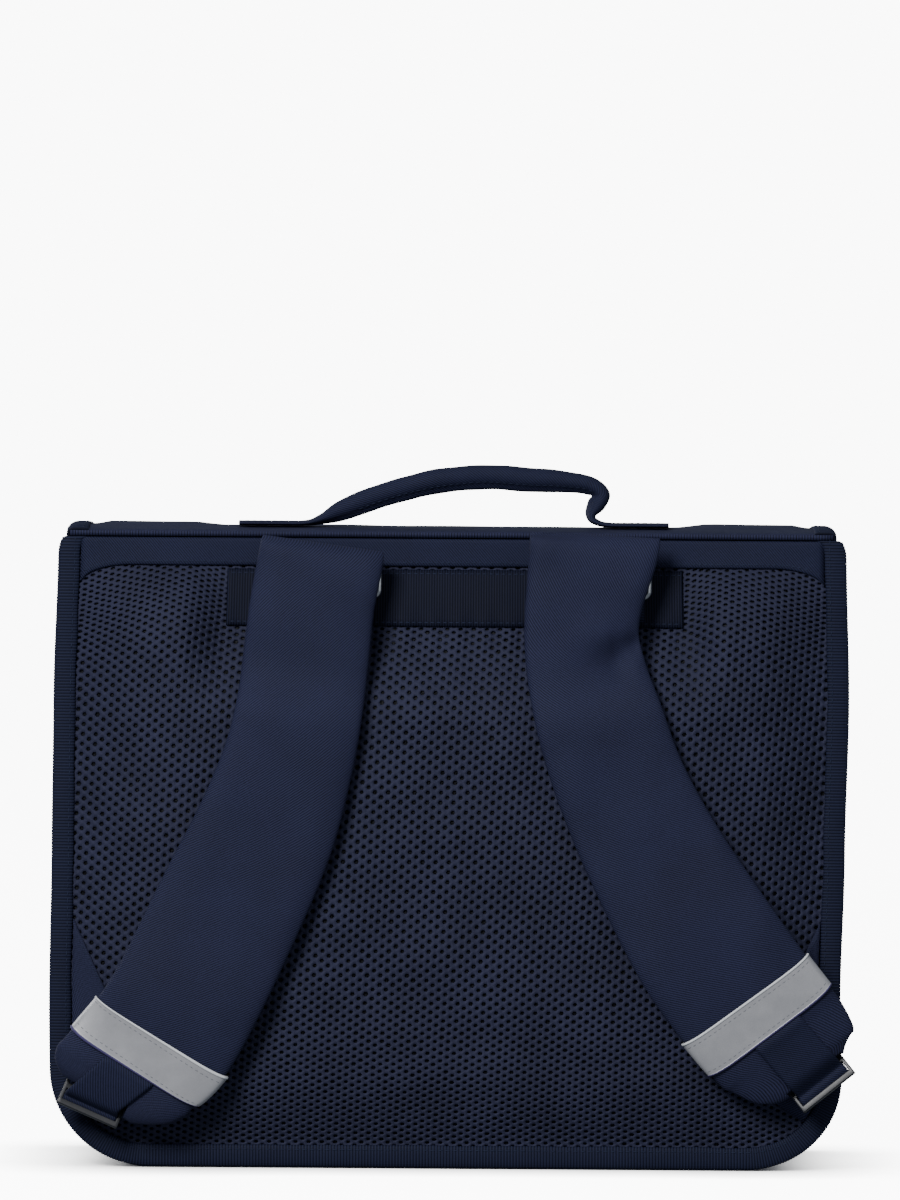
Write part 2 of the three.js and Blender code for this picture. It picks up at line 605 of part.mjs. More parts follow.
// Handle: flat tabs on the lid and a rolled grip between them, folded back at its right end
const lidShare = HANDLE_BACK / flapLength;
const handleY = flapProfile.getPointAt(lidShare).y;
const lidTops = [-1, -0.5, 0, 0.5, 1].map((share) => lidUnder(handleY + (share * HANDLE_TAB_DEPTH) / 2));
const handleBase = Math.max(...lidTops) + FLAP_T + CLEAR + HANDLE_TAB_T / 2;
const handleRows = smoothRows(HANDLE_ROWS, SPAN_STEPS);
const handleSection = polygon(roundSection(HANDLE_SIDES, HANDLE_SQUARE));
add('handle', sweep(handleSection, handleRows, (row, u, v) => {
  const thick = lerp(HANDLE_TAB_T, HANDLE_T, clamp(row.thick, 0, 1));
  const depth = lerp(HANDLE_TAB_DEPTH, HANDLE_DEPTH, clamp(row.deep, 0, 1));
  const [lean, up] = [Math.sin(rad(row.tilt)), Math.cos(rad(row.tilt))];
  const x = row.x * HANDLE_SPAN + HANDLE_SHIFT - lean * v * (thick / 2);
  const z = handleBase + Math.max(0, row.up) * HANDLE_H + up * v * (thick / 2);
  return new THREE.Vector3(x, handleY + u * (depth / 2), z);
}), TWILL);

// Clasps: a plate on the flap's lower edge with a foot on the front panel
const flapEdge = flapPoint(0, flapLength, 0);
const claspBack = flapPoint(0, flapLength, FLAP_T + 2 * CLEAR + BIND_T).y + CLEAR;
const claspSeat = (x) => FRONT_Y + FRONT_T + CLEAR + frontBulge(x, HEIGHT - flapEdge.z + CLASP_FOOT / 2);
for (const [name, side] of [['left', -1], ['right', 1]]) {
  const x = (side * CLASP_SPACING) / 2;
  const top = flapEdge.z + CLASP_H - CLASP_FOOT;
  const foot = flapEdge.z - CLASP_FOOT;
  const step = flapEdge.z - 2 * CLEAR;
  const front = claspBack + CLASP_T;
  const rounded = CLASP_T / 2;
  const outline = polygon([
    [claspBack, top],
    [front - rounded, top],
    [front, top - rounded],
    [front, foot + rounded],
    [front - rounded, foot],
    [claspSeat(x), foot],
    [claspSeat(x), step],
    [claspBack, step],
  ]);
  const stations = spread(x - CLASP_W / 2, x + CLASP_W / 2, 1);
  add(`clasp_${name}`, sweep(outline, stations, (at, y, z) => new THREE.Vector3(at, y, z)), PLASTIC);
}

// A length of webbing: rows with a middle point, half its width as a vector, and a thickness that
// grows inwards; turned says which way its outer face looks at the first row
function ribbon(rows, turned) {
  const stations = rows.map((row, i) => {
    const before = rows[Math.max(0, i - 1)].point;
    const after = rows[Math.min(rows.length - 1, i + 1)].point;
    const ahead = after.clone().sub(before);
    return { ...row, face: new THREE.Vector3().crossVectors(ahead, row.half).normalize() };
  });
  const flip = Math.sign(stations[0].face.dot(turned));
  return slab(stations, 2, (row, share, face) => {
    const off = face ? WEB_T / 2 : WEB_T / 2 - row.thick;
    return row.point.clone().addScaledVector(row.half, share).addScaledVector(row.face, flip * off);
  });
}

// Points of a hook round a bar: ahead and off are the directions at 0 and 90 degrees
function hookPoints(middle, ahead, off, radius, from, to) {
  return spread(from, to, HOOK_STEPS).map((angle) => middle.clone()
    .addScaledVector(ahead, radius * Math.cos(rad(angle)))
    .addScaledVector(off, radius * Math.sin(rad(angle))));
}

const VIEWER = new THREE.Vector3(0, -1, 0);
const UP = new THREE.Vector3(0, 0, 1);
const plane = (x, z, off) => new THREE.Vector3(x, BACK_Y - off, z);

// Rings behind the straps' tops
const ringBar = (RING_H - RING_WIRE) / 2; // from the ring's middle to a bar's middle
const ringZ = HEIGHT - RING_DROP;
const wrapR = RING_WIRE / 2 + CLEAR + WEB_T / 2;
const hangerEnd = ringZ - ringBar - HANGER_LEG;

function ringOff(x) {
  const under = Math.max(...[-0.5, 0, 0.5].map((share) => padFace(x + share * WIDE_WEB_W, HEIGHT - hangerEnd)));
  return under + 2 * CLEAR + ANCHOR_T + CLEAR + WEB_T / 2 + wrapR;
}

function stripOn(points, halfWidth, turned) {
  return ribbon(points.map((point) => ({ point, half: new THREE.Vector3(halfWidth, 0, 0), thick: WEB_T })), turned);
}

function addRing(strap) {
  const x = strap.ring * WIDTH;
  const off = ringOff(x);
  const torus = new THREE.TorusGeometry(RING_BEND, RING_WIRE / 2, RING_SIDES, RING_STEPS);
  const away = (value) => (Math.abs(value) < 1e-6 ? 0 : Math.sign(value));
  const stretchX = (RING_W - RING_WIRE) / 2 - RING_BEND;
  const stretchZ = ringBar - RING_BEND;
  add(`strap_ring_${strap.name}`, bend(torus, (u, v, w) => (
    plane(x + u + away(u) * stretchX, ringZ + v + away(v) * stretchZ, off + w))), METAL);

  const lower = plane(x, ringZ - ringBar, off);
  const hang = [
    plane(x, hangerEnd, off - wrapR),
    ...hookPoints(lower, VIEWER, UP, wrapR, 180, 0),
    plane(x, hangerEnd, off + wrapR),
  ];
  add(`ring_hanger_${strap.name}`, stripOn(hang, WIDE_WEB_W / 2, VIEWER.clone().negate()), GROSGRAIN);

  const upper = plane(x, ringZ + ringBar, off);
  const tabTop = ringZ + ringBar + STRAP_TAB_LEG;
  const tab = [
    plane(x, tabTop, off - wrapR),
    ...hookPoints(upper, VIEWER, UP, wrapR, -180, 0),
    plane(x, tabTop, off + wrapR),
  ];
  add(`strap_tab_${strap.name}`, stripOn(tab, WIDE_WEB_W / 2, VIEWER.clone().negate()), TWILL);
  return off + wrapR + WEB_T / 2 + STRAP_EASE;
}

// The buckle's own directions and the places of its bars
const barPitch = BUCKLE_BAR + BUCKLE_SLOT;
const hookR = Math.hypot(BUCKLE_BAR, BUCKLE_T) / 2 + CLEAR + WEB_T / 2;

function buckleFrame(strap) {
  const turn = rad(strap.buckle.turn);
  const tilt = rad(BUCKLE_TILT);
  const bar = new THREE.Vector3(Math.cos(turn), 0, Math.sin(turn));
  const outward = new THREE.Vector3(Math.sin(turn), 0, -Math.cos(turn));
  const ahead = outward.clone().multiplyScalar(Math.cos(tilt)).addScaledVector(VIEWER, Math.sin(tilt));
  const off = VIEWER.clone().multiplyScalar(Math.cos(tilt)).addScaledVector(outward, -Math.sin(tilt));
  const [x, z] = [strap.buckle.x * WIDTH, strap.buckle.z * HEIGHT];
  const upperX = x - outward.x * barPitch;
  const upperZ = z - outward.z * barPitch;
  const under = [-1, -0.5, 0, 0.5, 1].map((share) => {
    const reach = (share * BUCKLE_W) / 2;
    return padFace(upperX + bar.x * reach, HEIGHT - (upperZ + bar.z * reach));
  });
  const rest = Math.max(...under) + 2 * CLEAR + TAB_T + BUCKLE_REST;
  const upperOff = rest + hookR + WEB_T / 2;
  const middle = plane(x, z, upperOff + barPitch * Math.sin(tilt));
  const upper = middle.clone().addScaledVector(ahead, -barPitch);
  return { bar, ahead, off, outward, middle, upper, top: upperOff + hookR + WEB_T / 2 + CLEAR };
}

// Places of a strap's sections: middle, half width and outward face
function strapStations(strap, topOff, endOff) {
  const rows = smoothRows(strap.rows, SPAN_STEPS);
  const flat = rows.map((row) => ({ x: row.x * WIDTH, z: row.z * HEIGHT }));
  return rows.map((row, i) => {
    const [before, after] = [flat[Math.max(0, i - 1)], flat[Math.min(flat.length - 1, i + 1)]];
    const run = new THREE.Vector2(after.x - before.x, after.z - before.z).normalize();
    const half = (clamp(row.wide, 0.1, 2) * STRAP_W) / 2;
    const thick = (row.thick * STRAP_T) / 2;
    const slant = new THREE.Vector2(-run.y, run.x).rotateAround(new THREE.Vector2(), rad(row.turn));
    const [acrossX, acrossZ] = [slant.x, slant.y];
    const faceAt = (share) => padFace(
      flat[i].x + acrossX * half * share,
      HEIGHT - (flat[i].z + acrossZ * half * share),
    );
    const end = clamp(row.end, 0, 1);
    const slope = ((1 - end) * STRAP_LEAN * (faceAt(STRAP_REACH) - faceAt(-STRAP_REACH))) / (2 * STRAP_REACH * half);
    const rest = Math.max(...spread(-STRAP_REACH, STRAP_REACH, STRAP_PROBES).map((share) => (
      faceAt(share) - slope * share * half)));
    const over = rest + STRAP_EASE + end * (TAB_T + WEB_T + TAPE_T + 5 * CLEAR);
    const held = Math.max(over, clamp(row.top, 0, 1) * topOff, end * endOff);
    const point = plane(flat[i].x, flat[i].z, held + thick);
    const across = new THREE.Vector3(acrossX, -slope, acrossZ).normalize();
    const ahead = new THREE.Vector3(run.x, 0, run.y);
    const face = new THREE.Vector3().crossVectors(across, ahead).normalize();
    if (face.y > 0) face.negate();
    return { point, across, face, half, thick };
  });
}

const strapSection = roundSection(SECTION_SIDES, STRAP_SQUARE);

function strapShell(stations, grow) {
  return sweep(polygon(strapSection), stations, (at, u, v) => at.point.clone()
    .addScaledVector(at.across, u * (at.half + grow))
    .addScaledVector(at.face, v * (at.thick + grow)));
}

// A station part of the way between two others
function stationBetween(a, b, share) {
  return {
    point: a.point.clone().lerp(b.point, share),
    across: a.across.clone().lerp(b.across, share),
    face: a.face.clone().lerp(b.face, share),
    half: lerp(a.half, b.half, share),
    thick: lerp(a.thick, b.thick, share),
  };
}

// The stations of a length of strap that ends at a station and reaches back from it
function lengthBefore(stations, last, length) {
  const picked = [stations[last]];
  let left = length;
  for (let i = last; i > 0 && left > 0; i -= 1) {
    const step = stations[i].point.distanceTo(stations[i - 1].point);
    picked.unshift(step > left ? stationBetween(stations[i], stations[i - 1], left / step) : stations[i - 1]);
    left -= step;
  }
  return picked;
}

function addTape(name, stations) {
  const band = lengthBefore(stations, TAPE_ROW * SPAN_STEPS, TAPE_W);
  const tape = toSolid(strapShell(band, CLEAR + TAPE_T)).subtract(toSolid(strapShell(stations, CLEAR)));
  add(`reflective_band_${name}`, fromSolid(tape), TAPE);
}

function addBuckle(name, frame) {
  const height = 3 * BUCKLE_BAR + 2 * BUCKLE_SLOT;
  const [w, h] = [BUCKLE_W / 2, height / 2];
  const cut = BUCKLE_RAIL;
  const plate = polygon([[-w + cut, -h], [w - cut, -h], [w, -h + cut], [w, h - cut], [w - cut, h], [-w + cut, h],
    [-w, h - cut], [-w, -h + cut]]);
  for (const side of [-1, 1]) {
    const [low, high] = [side * barPitch / 2 - BUCKLE_SLOT / 2, side * barPitch / 2 + BUCKLE_SLOT / 2];
    const slot = w - BUCKLE_RAIL;
    plate.holes.push(polygon([[-slot, low], [-slot, high], [slot, high], [slot, low]]));
  }
  const stations = [-BUCKLE_T / 2, BUCKLE_T / 2];
  add(`strap_buckle_${name}`, sweep(plate, stations, (off, u, v) => frame.middle.clone()
    .addScaledVector(frame.bar, u)
    .addScaledVector(frame.ahead, v)
    .addScaledVector(frame.off, off)), PLASTIC);
}

// The corner tab: a twill piece from the side seam to a tip that takes the webbing
function tabCorners(side) {
  const top = { x: PAD_HALF + PAD_MARGIN - TAB_SIDE_GAP, z: TAB_TOP };
  const tip = {
    x: top.x - TAB_REACH * Math.cos(rad(TAB_SLOPE)),
    z: top.z - TAB_REACH * Math.sin(rad(TAB_SLOPE)),
  };
  const low = {
    x: tip.x - TAB_TIP_W * Math.cos(rad(TAB_TIP_SLOPE)),
    z: tip.z - TAB_TIP_W * Math.sin(rad(TAB_TIP_SLOPE)),
  };
  const seam = (z) => halfAt(HEIGHT - z, top.x, PAD_END + PAD_MARGIN - TAB_SIDE_GAP, PAD_R + PAD_MARGIN - TAB_SIDE_GAP);
  return { side, tip, low, seam };
}

function tabPoint(tab, along, reach) {
  const z = lerp(TAB_TOP, TAB_BASE, along);
  const root = { x: tab.seam(z), z };
  const end = { x: lerp(tab.tip.x, tab.low.x, along), z: lerp(tab.tip.z, tab.low.z, along) };
  return { x: tab.side * lerp(root.x, end.x, reach), z: lerp(root.z, end.z, reach) };
}

function addAnchorTab(strap) {
  const tab = tabCorners(strap.side);
  const blank = slab(spread(0, 1, 7), 5, (along, share, face) => {
    const { x, z } = tabPoint(tab, along, (share + 1) / 2);
    const top = padFace(x, HEIGHT - z);
    return backPoint(x, HEIGHT - z, face ? top + CLEAR + TAB_T : top - BACK_T / 2);
  });
  add(`anchor_tab_${strap.name}`, cutTo(blank, [backPanel]), TWILL);
  return tabPoint(tab, 0.5, TAB_SEWN);
}

function addLowerWebbing(strap, frame, tip) {
  const half = frame.bar.clone().multiplyScalar(LOOP_W / 2);
  const behind = frame.upper.clone().addScaledVector(frame.off, -hookR);
  const onTab = (x, z) => {
    const under = [-1, 0, 1].map((share) => padFace(x + half.x * share, HEIGHT - (z + half.z * share)));
    return Math.max(...under) + 3 * CLEAR + TAB_T + WEB_T / 2;
  };
  const laid = LAID_SHARES.map((share) => {
    const [x, z] = [lerp(tip.x, behind.x, share), lerp(tip.z, behind.z, share)];
    return plane(x, z, Math.max(onTab(x, z), share * (BACK_Y - behind.y)));
  });
  const level = behind.clone().addScaledVector(frame.ahead, -BUCKLE_BAR);
  const points = [...laid, level, ...hookPoints(frame.upper, frame.ahead, frame.off, hookR, -90, 90)];
  const rows = points.map((point) => ({ point, half, thick: WEB_T }));
  add(`lower_webbing_${strap.name}`, ribbon(rows, VIEWER.clone().negate()), GROSGRAIN);
}

// The loop: flat on the strap's face, over its end and round the buckle's middle bar
function addLoop(strap, frame, stations, strapSolid) {
  const turn = rad(strap.loopTurn);
  const back = new THREE.Vector3(-strap.side * Math.cos(turn), 0, Math.sin(turn));
  const last = stations[stations.length - 1];
  const before = stations[TAPE_ROW * SPAN_STEPS];
  const front = (station) => BACK_Y - station.point.y + station.thick + CLEAR + WEB_T / 2;
  const edge = frame.middle.clone().addScaledVector(back, BUCKLE_BAR + hookR);
  const run = new THREE.Vector3().crossVectors(before.across, VIEWER).normalize();
  const length = run.dot(frame.middle.clone().sub(before.point)) / run.dot(back);
  const start = frame.middle.clone().addScaledVector(back, Math.abs(length) - TAPE_T - CLEAR);
  const lift = (point, off) => plane(point.x, point.z, off);
  const slantHalf = before.across.clone().multiplyScalar(LOOP_W / 2);
  if (slantHalf.dot(frame.bar) < 0) slantHalf.negate();
  const barHalf = frame.bar.clone().multiplyScalar(LOOP_W / 2);
  const deep = WEB_T + LOOP_SINK;
  const rows = [
    { point: lift(start, front(before)), half: slantHalf, thick: deep },
    {
      point: lift(start.clone().lerp(edge, 0.5), (front(before) + front(last)) / 2),
      half: slantHalf.clone().lerp(barHalf, 0.5),
      thick: deep,
    },
    { point: lift(edge, front(last)), half: barHalf, thick: deep },
    ...hookPoints(frame.middle, frame.ahead, frame.off, hookR, LOOP_FROM, -90).map((point) => (
      { point, half: barHalf, thick: WEB_T })),
  ];
  add(`strap_loop_${strap.name}`, cutTo(ribbon(rows, VIEWER), [strapSolid]), TWILL);
}

// The strap's end is notched round the buckle
function notchFor(frame) {
  const half = BUCKLE_W / 2 + 2 * CLEAR;
  const reach = 3 * barPitch;
  const from = -BUCKLE_BAR / 2 - hookR;
  const box = new THREE.BoxGeometry(2 * half, reach, reach);
  return bend(box, (u, v, w) => frame.middle.clone()
    .addScaledVector(frame.bar, u)
    .addScaledVector(frame.ahead, from + reach / 2 + v)
    .addScaledVector(frame.off, w));
}

for (const strap of STRAPS) {
  const topOff = addRing(strap);
  const frame = buckleFrame(strap);
  const stations = strapStations(strap, topOff, frame.top);
  const body = toSolid(strapShell(stations, 0)).subtract(toSolid(notchFor(frame)));
  const strapSolid = add(`shoulder_strap_${strap.name}`, fromSolid(body), TWILL);
  addTape(strap.name, stations);
  addBuckle(strap.name, frame);
  addLoop(strap, frame, stations, strapSolid);
  addLowerWebbing(strap, frame, addAnchorTab(strap));
}

export default ransel;
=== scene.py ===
"""School ransel: the dressed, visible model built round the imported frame.

Sizes are in millimetres where a name ends in no unit, and every mesh is written in metres.
X runs to the right as the padded back is looked at, Y from the back to the flap's front, Z up.
"""

import logging
import math
from dataclasses import dataclass, field
from enum import Enum
from typing import Callable, Sequence

import bmesh
import bpy
import numpy as np
from mathutils import Matrix, Vector
from mathutils.bvhtree import BVHTree


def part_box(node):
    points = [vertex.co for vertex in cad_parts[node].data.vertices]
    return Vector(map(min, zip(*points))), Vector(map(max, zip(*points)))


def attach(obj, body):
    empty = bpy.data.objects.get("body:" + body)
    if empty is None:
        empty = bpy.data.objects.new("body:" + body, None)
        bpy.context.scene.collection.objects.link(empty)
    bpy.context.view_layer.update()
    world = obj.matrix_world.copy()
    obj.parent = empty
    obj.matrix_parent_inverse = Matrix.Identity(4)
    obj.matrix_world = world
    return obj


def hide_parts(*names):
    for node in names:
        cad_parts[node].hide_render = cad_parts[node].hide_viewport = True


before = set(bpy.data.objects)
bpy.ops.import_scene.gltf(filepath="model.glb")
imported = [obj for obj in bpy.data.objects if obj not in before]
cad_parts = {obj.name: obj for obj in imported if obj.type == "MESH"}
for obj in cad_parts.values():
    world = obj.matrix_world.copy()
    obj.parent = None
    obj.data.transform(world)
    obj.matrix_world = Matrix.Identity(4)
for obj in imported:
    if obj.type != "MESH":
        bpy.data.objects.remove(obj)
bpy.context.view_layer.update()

LOG = logging.getLogger("ransel")
MM = 0.001
CLEAR = 0.3
VIEWER = np.array([0.0, -1.0, 0.0])
Array = np.ndarray
Colour = tuple[float, float, float, float]


# Small numbers


def rise(share: Array | float) -> Array:
    """Eases out from 0 to 1."""
    return 1 - (1 - np.clip(share, 0, 1)) ** 2


def smooth(value: Array | float, low: float, high: float) -> Array:
    """Smooth step of a value between two bounds."""
    t = np.clip((value - low) / (high - low), 0, 1)
    return t * t * (3 - 2 * t)


def eased_table(keys: Sequence[float], values: Sequence[float], place: Array | float) -> Array:
    """Value of a short table at a place, eased from row to row.

    Args:
        keys: the rows' places.
        values: the rows' values.
        place: where the value is wanted.

    Returns:
        The value or values there.
    """
    keys, values = np.asarray(keys, float), np.asarray(values, float)
    at = np.asarray(place, float)
    upper = np.clip(np.searchsorted(keys, at), 1, len(keys) - 1)
    t = np.clip((at - keys[upper - 1]) / (keys[upper] - keys[upper - 1]), 0, 1)
    t = t * t * (3 - 2 * t)
    return values[upper - 1] + (values[upper] - values[upper - 1]) * t


def catmull_rows(rows: Array, steps: int) -> Array:
    """Rows with more rows set smoothly between them.

    Args:
        rows: table of shape (rows, columns).
        steps: new spaces between two rows.

    Returns:
        The longer table.
    """
    last = len(rows) - 1
    places = np.linspace(0, last, last * steps + 1)
    low = np.clip(places.astype(int), 0, last)
    t = (places - low)[:, None]
    p0, p1 = rows[np.maximum(low - 1, 0)], rows[low]
    p2, p3 = rows[np.minimum(low + 1, last)], rows[np.minimum(low + 2, last)]
    v0, v1 = (p2 - p0) / 2, (p3 - p1) / 2
    return (2 * p1 - 2 * p2 + v0 + v1) * t**3 + (3 * p2 - 3 * p1 - 2 * v0 - v1) * t**2 + v0 * t + p1


def unit(vectors: Array) -> Array:
    """Vectors made one long."""
    return vectors / np.maximum(np.linalg.norm(vectors, axis=-1, keepdims=True), 1e-9)


def lengths(points: Array) -> Array:
    """Distance run along a line of points."""
    return np.concatenate([[0.0], np.cumsum(np.linalg.norm(np.diff(points, axis=0), axis=1))])


def follow(places: Array, run: Array, table: Array) -> Array:
    """Rows of a table, read at running lengths."""
    return np.stack([np.interp(places, run, column) for column in table.T], axis=-1)


def hump(value: Array, middle: float, width: float) -> Array:
    """Bell-shaped hump: 1 at its middle, falling to 0 on both sides."""
    return np.exp(-(((value - middle) / width) ** 2))


class Waves:
    """Soft uneven relief of a cloth surface: a few crossed waves with seeded places."""

    def __init__(self, seed: int, low: float, high: float, count: int = 9, lean: float = math.pi) -> None:
        """Draws the waves.

        Args:
            seed: seed of the draws.
            low: shortest wave.
            high: longest wave.
            count: how many waves are added.
            lean: the waves' directions spread over this angle about the first axis.
        """
        draw = np.random.default_rng(seed)
        angle = draw.uniform(-lean / 2, lean / 2, count)
        size = 2 * math.pi / draw.uniform(low, high, count)
        self.ways = np.stack([np.cos(angle) * size, np.sin(angle) * size])
        self.phases = draw.uniform(0, 2 * math.pi, count)

    def at(self, u: Array, v: Array) -> Array:
        """Height of the relief.

        Args:
            u: first coordinate.
            v: second coordinate.

        Returns:
            Heights of about -1 to 1.
        """
        u, v = np.asarray(u, float), np.asarray(v, float)
        total = np.zeros(np.broadcast(u, v).shape)
        for i, phase in enumerate(self.phases):
            total = total + np.sin(u * self.ways[0, i] + v * self.ways[1, i] + phase)
        return total / math.sqrt(2 * len(self.phases))


# Meshes


def write_piece(name: str, points: Array, faces: list, corners: list | None = None) -> bpy.types.Object:
    """Makes an object from points in millimetres.

    Args:
        name: the piece's name.
        points: array of shape (count, 3).
        faces: lists of point numbers.
        corners: the flat pattern's place, in metres, of each face's corners.

    Returns:
        The new object, shaded smooth, at the origin.
    """
    mesh = bpy.data.meshes.new(name)
    mesh.from_pydata((np.asarray(points, float) * MM).tolist(), [], faces)
    if corners is not None:
        layer = mesh.uv_layers.new(name="flat")
        layer.data.foreach_set("uv", np.asarray([c for face in corners for c in face], float).ravel())
    mesh.shade_smooth()
    mesh.update()
    piece = bpy.data.objects.new(name, mesh)
    bpy.context.scene.collection.objects.link(piece)
    return piece


def turn_outwards(piece: bpy.types.Object) -> None:
    """Turns a closed piece's faces outwards.

    Args:
        piece: the piece.
    """
    work = bmesh.new()
    work.from_mesh(piece.data)
    bmesh.ops.recalc_face_normals(work, faces=work.faces)
    work.to_mesh(piece.data)
    work.free()


def grid_faces(rows: int, columns: int, first: int = 0, wrap: bool = False) -> tuple[list, list]:
    """Faces of a grid of points, with each corner's row and column.

    Args:
        rows: rows of points.
        columns: columns of points.
        first: number of the grid's first point.
        wrap: joins the last column to the first.

    Returns:
        The faces, and for each face its corners as (row, column) with columns counted on past a wrap.
    """
    faces, places = [], []
    reach = columns if wrap else columns - 1
    for i in range(rows - 1):
        for j in range(reach):
            around = [(i, j), (i + 1, j), (i + 1, j + 1), (i, j + 1)]
            faces.append([first + a * columns + b % columns for a, b in around])
            places.append(around)
    return faces, places


def slab_piece(name: str, outer: Array, inner: Array, flat: Array | None = None) -> bpy.types.Object:
    """A sheet with two faces and a closed rim.

    Args:
        name: the piece's name.
        outer: outer face's points, (rows, columns, 3).
        inner: inner face's points, the same shape.
        flat: flat pattern in millimetres, (rows, columns, 2); measured on the outer face if left out.

    Returns:
        The closed piece.
    """
    rows, columns = outer.shape[:2]
    if flat is None:
        along = np.cumsum(np.linalg.norm(np.diff(outer, axis=0, prepend=outer[:1]), axis=2), axis=0)
        across = np.cumsum(np.linalg.norm(np.diff(outer, axis=1, prepend=outer[:, :1]), axis=2), axis=1)
        flat = np.stack([across - across[:, -1:] / 2, along.mean(axis=1, keepdims=True) + 0 * along], axis=2)
    top, places = grid_faces(rows, columns)
    count = rows * columns
    under = [[count + n for n in reversed(face)] for face in top]
    border = [(0, j) for j in range(columns)] + [(i, columns - 1) for i in range(1, rows)]
    border += [(rows - 1, j) for j in range(columns - 2, -1, -1)] + [(i, 0) for i in range(rows - 2, 0, -1)]
    rim, rim_places = [], []
    for k, (a, b) in enumerate(border):
        c, d = border[(k + 1) % len(border)]
        rim.append([a * columns + b, c * columns + d, count + c * columns + d, count + a * columns + b])
        rim_places.append([(a, b), (c, d), (c, d), (a, b)])
    places = places + [list(reversed(p)) for p in places] + rim_places
    corners = [[(flat[i, j] * MM).tolist() for i, j in around] for around in places]
    points = np.concatenate([outer.reshape(-1, 3), inner.reshape(-1, 3)])
    piece = write_piece(name, points, top + under + rim, corners)
    turn_outwards(piece)
    return piece


def loft_piece(name: str, rings: Array,
               material_of: Callable[[int, int], int] | None = None) -> bpy.types.Object:
    """A closed form through rings of points, with flat ends.

    Args:
        name: the piece's name.
        rings: points, (rings, points in a ring, 3).
        material_of: material number of the face at a ring and a column.

    Returns:
        The closed piece, its flat pattern measured round and along it.
    """
    count, sides = rings.shape[:2]
    closed = np.concatenate([rings, rings[:, :1]], axis=1)
    around = np.cumsum(np.linalg.norm(np.diff(closed, axis=1, prepend=closed[:, :1]), axis=2), axis=1)
    along = lengths(rings.mean(axis=1))
    faces, places = grid_faces(count, sides, wrap=True)
    corners = [[[around[i, j] * MM, along[i] * MM] for i, j in p] for p in places]
    kinds = [material_of(p[0][0], p[0][1]) if material_of else 0 for p in places]
    points = rings.reshape(-1, 3)
    for end in (0, count - 1):
        middle = len(points)
        points = np.concatenate([points, rings[end].mean(axis=0)[None]])
        for j in range(sides):
            pair = [end * sides + j, end * sides + (j + 1) % sides]
            faces.append([middle, *pair])
            corners.append([[around[end, j] * MM, along[end] * MM]] * 3)
            kinds.append(material_of(min(end, count - 2), j) if material_of else 0)
    piece = write_piece(name, points, faces, corners)
    piece.data.polygons.foreach_set("material_index", kinds)
    turn_outwards(piece)
    return piece


def only(piece: bpy.types.Object) -> None:
    """Selects one piece alone and makes it active.

    Args:
        piece: the piece.
    """
    bpy.ops.object.select_all(action="DESELECT")
    piece.select_set(True)
    bpy.context.view_layer.objects.active = piece


def primitive(add: Callable[..., set], **settings: object) -> bpy.types.Object:
    """Adds one of Blender's own forms.

    Args:
        add: the operator that adds it.
        settings: the operator's settings.

    Returns:
        The new object.
    """
    bpy.ops.object.select_all(action="DESELECT")
    add(**settings)
    return bpy.context.object


def apply_modifier(piece: bpy.types.Object, kind: str, **settings: object) -> None:
    """Adds a modifier and applies it.

    Args:
        piece: the piece.
        kind: the modifier's type.
        settings: its settings.
    """
    only(piece)
    modifier = piece.modifiers.new(kind.lower(), kind)
    for key, value in settings.items():
        setattr(modifier, key, value)
    bpy.ops.object.modifier_apply(modifier=modifier.name)


def bevel(piece: bpy.types.Object, width: float, segments: int, angle: float) -> None:
    """Rounds a piece's sharp edges."""
    limit = math.radians(angle)
    apply_modifier(piece, "BEVEL", width=width, segments=segments, limit_method="ANGLE", angle_limit=limit)


def smooth_by_angle(piece: bpy.types.Object, angle: float) -> None:
    """Shades a piece smooth but for its sharp edges."""
    only(piece)
    bpy.ops.object.shade_smooth_by_angle(angle=math.radians(angle))


def place_primitive(piece: bpy.types.Object, name: str, matrix: Matrix) -> bpy.types.Object:
    """Names a finished primitive and writes its place into its mesh.

    Args:
        piece: the object.
        name: its name.
        matrix: from the piece's own millimetres to the ransel's.

    Returns:
        The piece, at the origin, unturned and unscaled.
    """
    scale = Matrix.Scale(MM, 4)
    piece.data.transform(scale @ matrix @ piece.matrix_basis)
    piece.matrix_basis = Matrix.Identity(4)
    piece.name = name
    piece.data.name = name
    return piece


def basis(u: Sequence[float], v: Sequence[float], w: Sequence[float], at: Sequence[float]) -> Matrix:
    """Matrix from three directions and a place."""
    return Matrix((*zip(u, v, w, at), (0, 0, 0, 1)))


def select_faces(piece: bpy.types.Object, test: Callable[[bmesh.types.BMFace], bool]) -> None:
    """Enters edit mode with the faces selected that pass a test.

    Args:
        piece: the piece.
        test: says whether a face is selected.
    """
    only(piece)
    bpy.ops.object.mode_set(mode="EDIT")
    bpy.ops.mesh.select_mode(type="FACE")
    bpy.ops.mesh.select_all(action="DESELECT")
    work = bmesh.from_edit_mesh(piece.data)
    for face in work.faces:
        face.select = test(face)
    bmesh.update_edit_mesh(piece.data)


def leave_edit() -> None:
    """Goes back to object mode."""
    bpy.ops.object.mode_set(mode="OBJECT")


# Stitches


